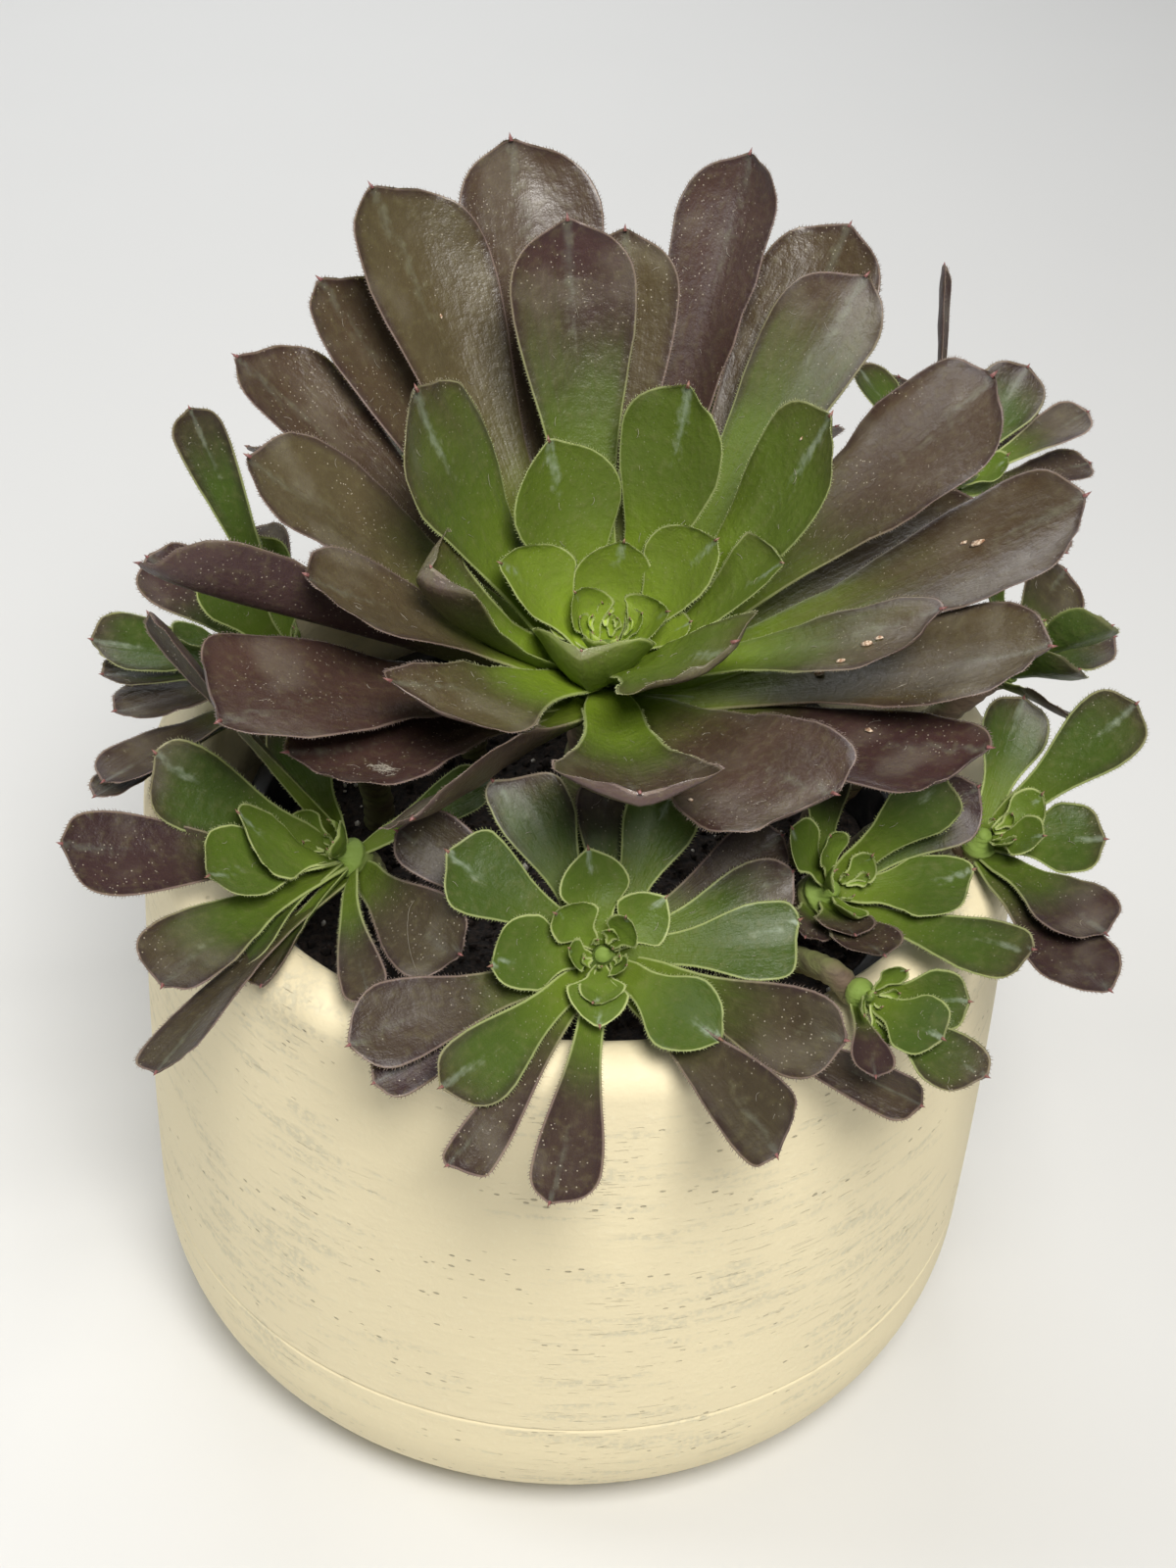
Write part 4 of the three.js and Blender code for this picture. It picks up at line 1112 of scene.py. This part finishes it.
# %% List the main leaves
MAIN = {
    "crown": (4, 0, 206), "lean": (-90, 5), "drop": 26, "core": 8,
    "stem": [(2, 4, 150)], "stem_radius": 8,
    "young": (5, (11, 6), (8, 5), (60, 76), 250), "bud": (7, (6, 2.4), (4.2, 1.4), (62, 84), 100),
    "leaves": [
        (21, 28, 101, 34, -12, 0, 12, 0.8, 0, 2.1),
        (117, 42, 83, 30, -10, 0, 12, 0.9, 0, 2.1),
        (100, 34, 108, 32, -8, 0, 14, 0.9, 0, 2.1),
        (109, 52, 138, 36, 14, 0, 14, 0.95, 0.15, 2.2),
        (132, 52, 133, 35, 12, 0, 14, 0.9, 0.45, 2.3),
        (72, 54, 136, 31, 10, -28, 14, 0.95, -0.1, 2.3),
        (55, 47, 129, 33, 6, 0, 14, 0.95, 0, 2.1),
        (140, 42, 120, 30, 6, 0, 14, 1, 0.4, 2.3),
        (155, 36, 117, 28, 6, 0, 14, 1, 0.5, 2.5),
        (2, 31, 121, 37, 6, 0, 12, 0.75, 0.2, 2.3),
        (-20, 27, 111, 36, 6, 0, 12, 0.95, 0, 2.1),
        (-163, 28, 116, 25, -4, 66, 30, 0.95, -0.6, 2.1),
        (-147, 21, 106, 38, -8, 0, 10, 1, 0.3, 5),
        (-35, 17, 97, 30, -8, 0, 10, 0.85, 0.4, 4.2),
        (-136, 14, 87, 28, -10, 0, 14, 1, -0.6, 2.3),
        (-115, 18, 92, 34, -2, 52, 12, 1, 0, 2.3),
        (-61, 21, 92, 38, -12, 16, 8, 0.9, 0.2, 3.4),
        (-154, 36, 87, 30, -6, 0, 12, 0.85, 0, 2.2),
        (92, 59, 107, 28, 8, 0, 14, 0.95, 0, 2.1),
        (16, 41, 114, 39, 4, 0, 12, 0.75, 0.1, 3),
        (178, 36, 99, 34, 2, 0, 12, 0.8, 0.2, 2.3),
        (45, 50, 112, 30, 6, 0, 8, 0.45, -0.2, 2.3),
        (132, 30, 99, 24, 6, 0, 14, 0.85, 0, 2.2),
        (108, 64, 107, 31, 10, 0, 12, 0.5, 0, 2.1),
        (-26, 31, 85, 27, -6, 0, 12, 0.5, 0.5, 3.6),
        (-85, 25, 96, 35, 16, -1, 22, 0.55, 0, 5, 0.15),
        (-121, 27, 74, 29, -12, -9, 9, 0.6, -0.75, 3.9, 0.3),
        (175, 59, 84, 36, 24, -7, 8, 0.3, 0, 2.2),
        (-2, 61, 86, 32, 24, 14, 10, 0.15, 0, 2.3),
        (50, 74, 71, 30, 19, -7, 13, 0.1, 0, 2),
        (-63, 39, 55, 35, -15, 17, 17, 0.3, 0.3, 3.2, 0.15),
        (-152, 44, 58, 25, 42, -3, 42, 0.3, 0, 3.9, 0.15),
        (137, 71, 55, 31, 14, 0, 16, 0.1, 0.1, 1.9),
        (-18, 53, 56, 17, 22, 28, 19, 0.1, -0.9, 4.7, 0.15),
        (-105, 46, 26, 29, 21, 9, 40, 0.1, 0, 2.8),
        (6, 67, 41, 21, 11, 26, 20, 0, -0.6, 2.7),
        (-174, 61, 37, 21, 6, -28, 23, 0, 1.1, 3),
        (90, 83, 28, 20, 12, 4, 17, 0, -0.2, 2.5, 0.6),
        (170, 79, 18, 14, 2, -10, 30, 0, 0.6, 2.2),
        (-1, 65, 18, 16, -2, 15, 28, 0, -0.9, 3.2, 0.3),
        (-18, 43, 22, 8, 8, 30, 15, 0, 0, 2.3),
        (-172, 49, 16, 9, 8, -25, 14, 0, 0.1, 2.5),
    ],
}
main_leaves = grow("main_rosette", MAIN, "purple_leaf", purple_leaf)

# %% [markdown]
# ## The front rosettes
# Aeoniums branch from the base. The offset at the front leans out over the lip towards the light, and
# its outer leaves hang down the pot's wall. The one at the left front is older and more open.

# %% Grow the front offsets
FRONT_OFFSETS = {
    "front_offset": {
        "crown": (7, -84, 181), "lean": (-90, 42), "drop": 10, "core": 5,
        "stem": [(5, -66, 160), (3, -52, 140)], "stem_radius": 4,
        "young": (5, (14, 7), (12, 6), (40, 62), 135), "bud": (6, (5.5, 2), (4.2, 1.3), (58, 84), 70),
        "leaves": [
            (161, 24, 51, 16, -10, 0, 10, 0.9, 0.2, 2.5),
            (-141, -4, 58, 12, -20, 0, 12, 0.95, 0, 2.4),
            (-114, -5, 63, 11, -26, 0, 14, 0.9, -0.3, 5),
            (-95, -5, 64, 15, -24, -5, 12, 0.75, -0.3, 2.4),
            (-22, -8, 75, 12, -18, 30, 20, 0.85, 0, 2.4),
            (-53, 2, 63, 19, -14, 25, 12, 0.9, -0.2, 3.6, 0.35),
            (33, 20, 47, 15, -10, 0, 12, 0.9, 0, 2.5),
            (93, 45, 38, 14, 4, 0, 12, 0.5, 0, 2.5),
            (-149, 2, 59, 19, -11, 5, 10, 0.85, 0.2, 1.9),
            (-32, 8, 58, 20, -8, 16, 12, 0.75, 0.2, 2.4),
            (21, 13, 44, 17, -16, 2, 13, 0.45, 0.4, 2.2, 0.6),
            (-124, 1, 51, 17, -21, -12, 10, 0.3, -0.3, 2.3),
            (108, 24, 34, 13, 4, 0, 12, 0.4, 0, 2.5),
            (127, 37, 42, 18, 4, 0, 10, 0.35, 0.4, 4.6),
            (64, 40, 39, 17, 4, 0, 10, 0.15, 0, 5),
            (4, 8, 41, 18, -14, -8, 10, 0.05, 0.2, 4.6),
            (171, 32, 39, 20, -3, 13, 10, 0.1, -0.1, 1.8, 0.3),
            (-48, 7, 35, 18, -10, 0, 11, 0.05, 0.1, 1.8, 0.6),
            (-155, 21, 25, 17, -6, 0, 14, 0, 0.3, 2.9, 0.6),
            (110, 56, 21, 17, 10, 17, 14, 0, 0, 1.8),
            (35, 32, 16, 14, 5, 11, 14, 0, 0, 1.8, 0.55),
            (-93, 0, 18, 14, -16, 0, 15, 0, 0.3, 1.8, 0.6),
        ],
    },
    "left_front_offset": {
        "crown": (-58, -45, 172), "lean": (-152, 45), "drop": 10, "core": 5,
        "stem": [(-49, -38, 156), (-44, -34, 140)], "stem_radius": 4,
        "young": (4, (17, 9), (11, 6), (46, 62), 200), "bud": (4, (7, 3), (4, 1.6), (58, 82), 30),
        "leaves": [
            (-114, 7, 84, 17, -16, -5, 12, 1, 0, 3),
            (-62, 19, 57, 20, -40, -6, 14, 0.85, 0.1, 2.6),
            (-155, 20, 70, 21, -10, -24, 12, 0.8, -0.2, 2.8),
            (164, 49, 75, 14, -6, -42, 22, 0.85, 0, 2.4),
            (-80, 10, 54, 11, -30, -22, 12, 0.6, 0, 2.5),
            (18, 28, 36, 15, -10, 0, 12, 0.1, 0, 2.5),
            (-108, 4, 46, 12, -14, 0, 26, 0.6, 0, 2.4),
            (-126, 9, 62, 22, -14, -30, 10, 0.55, 0.3, 2.8),
            (-172, 33, 50, 20, -6, 0, 10, 0.25, -0.3, 3.2),
            (130, 44, 34, 18, 4, 0, 12, 0.3, 0, 2.6),
            (-119, 1, 44, 16, -18, -10, 14, 0.3, 0.1, 2),
            (-140, 26, 38, 20, -4, -45, 18, 0.1, 0.2, 2.8),
            (-147, 38, 27, 20, 8, -44, 8, 0, -0.4, 4.6, 0.4),
        ],
    },
    "right_front_offset": {
        "crown": (60, -58, 182), "lean": (-40, 40), "drop": 10, "core": 5,
        "stem": [(47, -46, 162), (41, -40, 140)], "stem_radius": 4,
        "young": (4, (14, 8), (11, 6), (48, 66), 140), "bud": (4, (6, 2.6), (3.6, 1.4), (58, 82), 30),
        "leaves": [
            (-95, 22, 20, 12, -8, 20, 14, 0.8, 0, 2.5),
            (-62, 20, 30, 16, -10, 20, 14, 0.75, 0, 2.5),
            (-29, 10, 50, 15, -1, 10, 10, 0.25, 0.2, 3.6, 0.6),
            (24, 27, 42, 16, -4, -4, 12, 0.5, 0.3, 1.8, 0.4),
            (92, 38, 34, 16, -4, 0, 12, 0.6, 0, 2.5),
            (-71, 20, 19, 14, -8, 24, 14, 0.7, 0, 2.5),
            (12, 50, 37, 19, 6, 18, 12, 0.15, 0.1, 2.8, 0.4),
            (-2, 9, 30, 19, -16, -24, 12, 0.05, 0.5, 3.5, 0.6),
            (-172, 62, 19, 13, -4, 0, 18, 0, 0, 2.6),
        ],
    },
    "right_rim_offset": {
        "crown": (67, -89, 178), "lean": (-55, 60), "drop": 7, "core": 3.5,
        "stem": [(57, -80, 177), (45, -63, 164), (38, -48, 140)], "stem_radius": 3,
        "young": (3, (10, 7), (8, 5), (30, 50), 300), "bud": (3, (5, 2.4), (3, 1.4), (58, 80), 30),
        "leaves": [
            (-80, 2, 24, 10, -14, 30, 14, 0.8, 0, 2.6),
            (-45, 0, 33, 15, -16, 0, 12, 0.4, 0.3, 2.8),
            (-14, 12, 22, 14, -10, 0, 12, 0.15, 0, 3),
            (-44, 10, 20, 15, -10, 0, 12, 0.1, 0, 3),
        ],
    },
}
offset_leaves = {}
for name, head in FRONT_OFFSETS.items():
    offset_leaves[name] = grow(name, head, "green_leaf", green_leaf)

# %% [markdown]
# ## The side and back rosettes
# The others stand in a ring under the main rosette. The two at the far back never show in the
# photograph. A real plant has them, so they are guessed from their neighbours.

# %% Grow the other offsets
OTHER_OFFSETS = {
    "left_back_offset": {
        "crown": (-77, 15, 182), "lean": (-160, 25), "drop": 10, "core": 5,
        "stem": [(-62, 14, 162), (-54, 13, 140)], "stem_radius": 4,
        "young": (3, (15, 9), (11, 6), (50, 66), 90), "bud": (4, (7, 3), (4, 1.6), (58, 82), 30),
        "leaves": [
            (-133, 0, 62, 13, -10, 0, 12, 0.8, 0, 2.5),
            (-131, 4, 60, 19, -14, 0, 12, 0.85, 0, 2.5),
            (112, 12, 52, 20, -12, 0, 12, 0.8, 0, 2.5),
            (138, 57, 71, 14, 6, 0, 14, 0.35, 0, 2.4),
            (-146, 10, 47, 18, -12, 0, 12, 0.8, 0, 2.6),
            (150, 20, 48, 19, -12, 0, 12, 0.7, 0, 2.6),
            (-154, 16, 48, 14, -10, 0, 12, 0.4, 0, 2.5),
            (-161, 22, 50, 20, -8, -10, 12, 0.3, 0, 2.5),
            (-150, 36, 34, 19, -6, 0, 16, 0.1, 0, 2.8),
            (172, 56, 33, 18, 6, 0, 22, 0.05, 0, 2.6),
            (120, 50, 31, 16, 6, 0, 18, 0.1, 0, 2.6),
        ],
    },
    "right_offset": {
        "crown": (97, -33, 180), "lean": (-60, 25), "drop": 9, "core": 4.5,
        "stem": [(83, -28, 181), (68, -24, 163), (57, -19, 140)], "stem_radius": 3.5,
        "young": (3, (14, 8), (11, 6), (40, 62), 30), "bud": (4, (6, 2.6), (3.6, 1.4), (58, 82), 30),
        "leaves": [
            (-64, 5, 54, 20, 0, 10, 11, 0.9, 0.2, 1.8, 0.6),
            (-53, 10, 41, 20, -12, 0, 12, 0.7, 0, 2.8),
            (20, 46, 48, 18, -4, 0, 12, 0.3, 0, 2.8),
            (-6, 13, 27, 19, -8, 0, 12, 0.2, 0, 3),
            (70, 40, 34, 17, -4, 0, 12, 0.3, 0, 2.6),
            (-165, 62, 18, 11, -4, 0, 14, 0.1, 0, 2.6),
            (-30, 32, 14, 12, -4, 0, 14, 0, 0, 2.6),
        ],
    },
    "right_back_offset": {
        "crown": (106, 12, 200), "lean": (5, 40), "drop": 9, "core": 4.5,
        "stem": [(88, 10, 180), (70, 9, 160), (59, 8, 140)], "stem_radius": 3.5,
        "young": (3, (13, 8), (10, 6), (44, 62), 310), "bud": (4, (6, 2.6), (3.6, 1.4), (58, 82), 30),
        "leaves": [
            (-54, 14, 27, 17, -12, 0, 12, 0.7, 0, 2.6),
            (61, 8, 42, 19, -10, 0, 12, 0.7, 0, 2.6),
            (-44, 34, 24, 16, -10, 0, 16, 0.3, 0, 2.6),
            (16, 14, 27, 18, -12, 0, 12, 0.5, 0, 2.6),
            (-20, 44, 29, 17, -20, 0, 24, 0.2, 0, 2.6),
            (105, 26, 38, 17, -6, 0, 12, 0.2, 0, 2.6),
        ],
    },
    "back_right_offset": {
        "crown": (92, 68, 214), "lean": (0, 20), "drop": 9, "core": 4.5,
        "stem": [(72, 54, 182), (56, 42, 160), (46, 35, 140)], "stem_radius": 3.5,
        "young": (3, (14, 8), (11, 6), (50, 66), 10), "bud": (4, (6, 2.6), (3.6, 1.4), (58, 82), 30),
        "leaves": [
            (-42, 10, 38, 16, -10, 0, 12, 0.8, 0, 2.6),
            (100, 10, 48, 20, -10, 0, 12, 0.8, 0, 2.6),
            (62, 6, 50, 21, -12, 0, 12, 0.8, 0, 2.6),
            (24, 4, 42, 13, -8, 0, 14, 0.85, 0, 2.5),
            (95, 53, 58, 12, 4, 40, 18, 0.85, 0, 2.5),
            (50, 40, 38, 18, -4, 0, 12, 0.4, 0, 2.6),
            (140, 36, 38, 18, -6, 0, 12, 0.3, 0, 2.6),
            (28, 20, 41, 13, -4, 0, 16, 0.7, 0, 2.5),
        ],
    },
    "back_offset": {
        "crown": (30, 92, 194), "lean": (75, 35), "drop": 9, "core": 4.5,
        "stem": [(22, 76, 172), (18, 62, 156), (16, 52, 140)], "stem_radius": 3.5,
        "young": (3, (14, 8), (11, 6), (50, 66), 190), "bud": (4, (6, 2.6), (3.6, 1.4), (58, 82), 30),
        "leaves": [
            (95, 4, 52, 22, -14, 0, 12, 0.85, 0.3, 2.6),
            (50, 6, 50, 22, -14, 0, 12, 0.85, -0.3, 2.8),
            (140, 8, 48, 20, -12, 0, 12, 0.8, 0, 2.6),
            (5, 14, 44, 20, -10, 0, 12, 0.6, 0.2, 3),
            (72, 26, 40, 20, -8, 0, 14, 0.3, 0, 2.8),
            (118, 30, 38, 20, -8, 0, 14, 0.2, -0.2, 2.8),
            (28, 34, 34, 18, -6, 0, 14, 0.1, 0, 3),
            (90, 50, 26, 16, -4, 0, 18, 0, 0, 2.6),
        ],
    },
    "back_left_offset": {
        "crown": (-48, 80, 196), "lean": (115, 35), "drop": 9, "core": 4.5,
        "stem": [(-40, 66, 174), (-34, 54, 156), (-31, 46, 140)], "stem_radius": 3.5,
        "young": (3, (14, 8), (11, 6), (50, 66), 80), "bud": (4, (6, 2.6), (3.6, 1.4), (58, 82), 30),
        "leaves": [
            (120, 4, 54, 22, -14, 0, 12, 0.85, -0.3, 2.6),
            (75, 8, 48, 20, -12, 0, 12, 0.8, 0.2, 2.8),
            (165, 8, 50, 22, -12, 0, 12, 0.85, 0, 2.6),
            (98, 26, 40, 20, -8, 0, 14, 0.4, 0, 2.8),
            (142, 28, 40, 20, -8, 0, 14, 0.3, 0.3, 2.8),
            (-170, 24, 40, 18, -8, 0, 12, 0.3, 0, 2.6),
            (60, 34, 32, 17, -6, 0, 14, 0.1, 0, 3),
            (125, 50, 26, 16, -4, 0, 18, 0, 0, 2.6),
        ],
    },
}
for name, head in OTHER_OFFSETS.items():
    offset_leaves[name] = grow(name, head, "green_leaf", green_leaf)

# %% [markdown]
# ## Lint
# A plant on a windowsill is never quite clean. Short fibres of lint lie on the leaves, and a tuft of
# them has caught on one leaf at the left. They go through the leaf's own function, as the hairs do, so
# they follow its surface. TUFT holds a leaf of the main rosette and a place along and across it, which
# a separate script found from a point picked in the photograph.

# %% Lay the lint
LINT_RADIUS = 0.045
LINT_ON_MAIN = 200
LINT_ON_OFFSET = 14
LINT_LEAVES = slice(3, 34)
YOUNGEST = 6
TUFT = (14, 0.85, 0.45)
TUFT_FIBRES = 70


def on_leaf(leaf, along, across, above):
    """Points above the upper face of a leaf, by their place along and across it."""
    along, across = np.asarray(along, float), np.asarray(across, float)
    half = leaf.outline.half(along)
    face = leaf.outline.swell(along) * np.sqrt(np.clip(1 - across ** 2, 0, 1))
    return leaf.lay(along * leaf.length, across * half, across, half, face + above)


def add_fibre(shape, leaf, along, across, length):
    """One curved fibre of lint that starts at a place on a leaf."""
    way, bend = chance.uniform(0, 2 * math.pi), chance.uniform(-0.9, 0.9)
    t = np.linspace(0, 1, 6)
    u = along + length * t * np.cos(way + bend * t) / leaf.length
    v = across + length * t * np.sin(way + bend * t) / (leaf.width / 2)
    path = on_leaf(leaf, np.clip(u, 0.2, 0.97), np.clip(v, -0.9, 0.9), 0.12 + 0.3 * t * (1 - t))
    add_tube(shape, path, LINT_RADIUS, 3, look=1)


def lint_finish():
    f = Finish("lint")
    color = f.mix(f.noise(f.place(), 3), paint(146, 138, 124), paint(204, 196, 180))
    return f.shade(Base_Color=color, Roughness=0.8)


dust = Shape()
for leaf in chance.choice(np.array(main_leaves[LINT_LEAVES]), LINT_ON_MAIN):
    along, across = chance.uniform(0.4, 0.93), chance.uniform(-0.75, 0.75)
    add_fibre(dust, leaf, along, across, chance.uniform(0.8, 3))
for leaves in offset_leaves.values():
    for leaf in chance.choice(np.array(leaves[:-YOUNGEST]), LINT_ON_OFFSET):
        along, across = chance.uniform(0.4, 0.93), chance.uniform(-0.7, 0.7)
        add_fibre(dust, leaf, along, across, chance.uniform(0.6, 2.4))
number, middle_along, middle_across = TUFT
for _ in range(TUFT_FIBRES):
    along, across = middle_along + chance.normal(0, 0.01), middle_across + chance.normal(0, 0.09)
    add_fibre(dust, main_leaves[number], along, across, chance.uniform(1, 3))
print("the lint has", dust.count, "points")

# %% [markdown]
# ## Flakes and a hair
# Dry flakes have fallen on the leaves at the right. Each is a flattened stone with the leaf's own
# axes, and FLAKES gives its leaf, its place along and across the leaf, and its size. The leaves and
# places were found like the tuft's, and the sizes were chosen one by one. A long hair lies over one
# leaf at the left front: a straight run along and across the leaf, bowed by half a sine wave.

# %% Lay the flakes and the hair
FLAKES = [(24, 0.85, -0.1, 4.4), (24, 0.87, 0.05, 2.8), (24, 0.83, -0.65, 3.4), (10, 0.49, 0.2, 3.8),
          (13, 0.72, 0.4, 2.8), (9, 0.79, 0.2, 5.0), (9, 0.76, 0.32, 2.8), (28, 0.89, 0.3, 1.6),
          (16, 0.74, -0.8, 2.2), (4, 0.76, 0, 1.6), (25, 0.9, -0.5, 1.6)]
LONG_HAIR_LEAF = 1
LONG_HAIR_ALONG = (0.65, 0.95)
LONG_HAIR_ACROSS = (0.5, -0.8)
LONG_HAIR_BOW = 0.1
LONG_HAIR_HEIGHT = 0.35
LONG_HAIR_STEPS = 30


def flake_finish():
    f = Finish("dry_flake")
    curl = f.noise(f.place(), 0.8, 4)
    color = f.mix(f.step(curl, 0.35, 0.65), paint(150, 112, 84), paint(232, 212, 186))
    return f.shade(Base_Color=color, Roughness=0.75, Normal=f.bump(curl, 0.2))


faces = stone_faces()
for number, along, across, size in FLAKES:
    leaf = main_leaves[number]
    corners = STONE_CORNERS * chance.uniform(0.5, 1.2, (12, 1)) * (size / 2, size / 4, size / 7)
    leaf_axes = np.array([leaf.chord, leaf.side, leaf.face])
    dust.add(on_leaf(leaf, along, across, size / 8) + corners @ leaf_axes, faces)
t = np.linspace(0, 1, LONG_HAIR_STEPS)
along = np.interp(t, (0, 1), LONG_HAIR_ALONG) - LONG_HAIR_BOW * np.sin(math.pi * t)
across = np.interp(t, (0, 1), LONG_HAIR_ACROSS)
leaf = offset_leaves["left_front_offset"][LONG_HAIR_LEAF]
add_tube(dust, on_leaf(leaf, along, across, LONG_HAIR_HEIGHT), LINT_RADIUS, 3, look=1)
dust.piece("leaf_dust", [flake_finish(), lint_finish()], "purple_leaf")

# %% [markdown]
# ## The floor
# A plain pale floor keeps the eye on the plant. It isn't part of the object.

# %% Lay the floor
FLOOR_SIZE = 8000


def floor_finish():
    f = Finish("pale_floor")
    color = f.mix(f.noise(f.place(), 90, 3) * 0.3, paint(218, 218, 216), paint(211, 211, 209))
    return f.shade(Base_Color=color, Roughness=0.85)


bpy.ops.mesh.primitive_plane_add(size=FLOOR_SIZE * MM)
floor = bpy.context.object
floor.name = "floor"
floor.data.materials.append(floor_finish())
print("floor is", FLOOR_SIZE * MM, "m across")

# %% [markdown]
# ## The frame's size
# The dressed plant must keep the size of the frame.
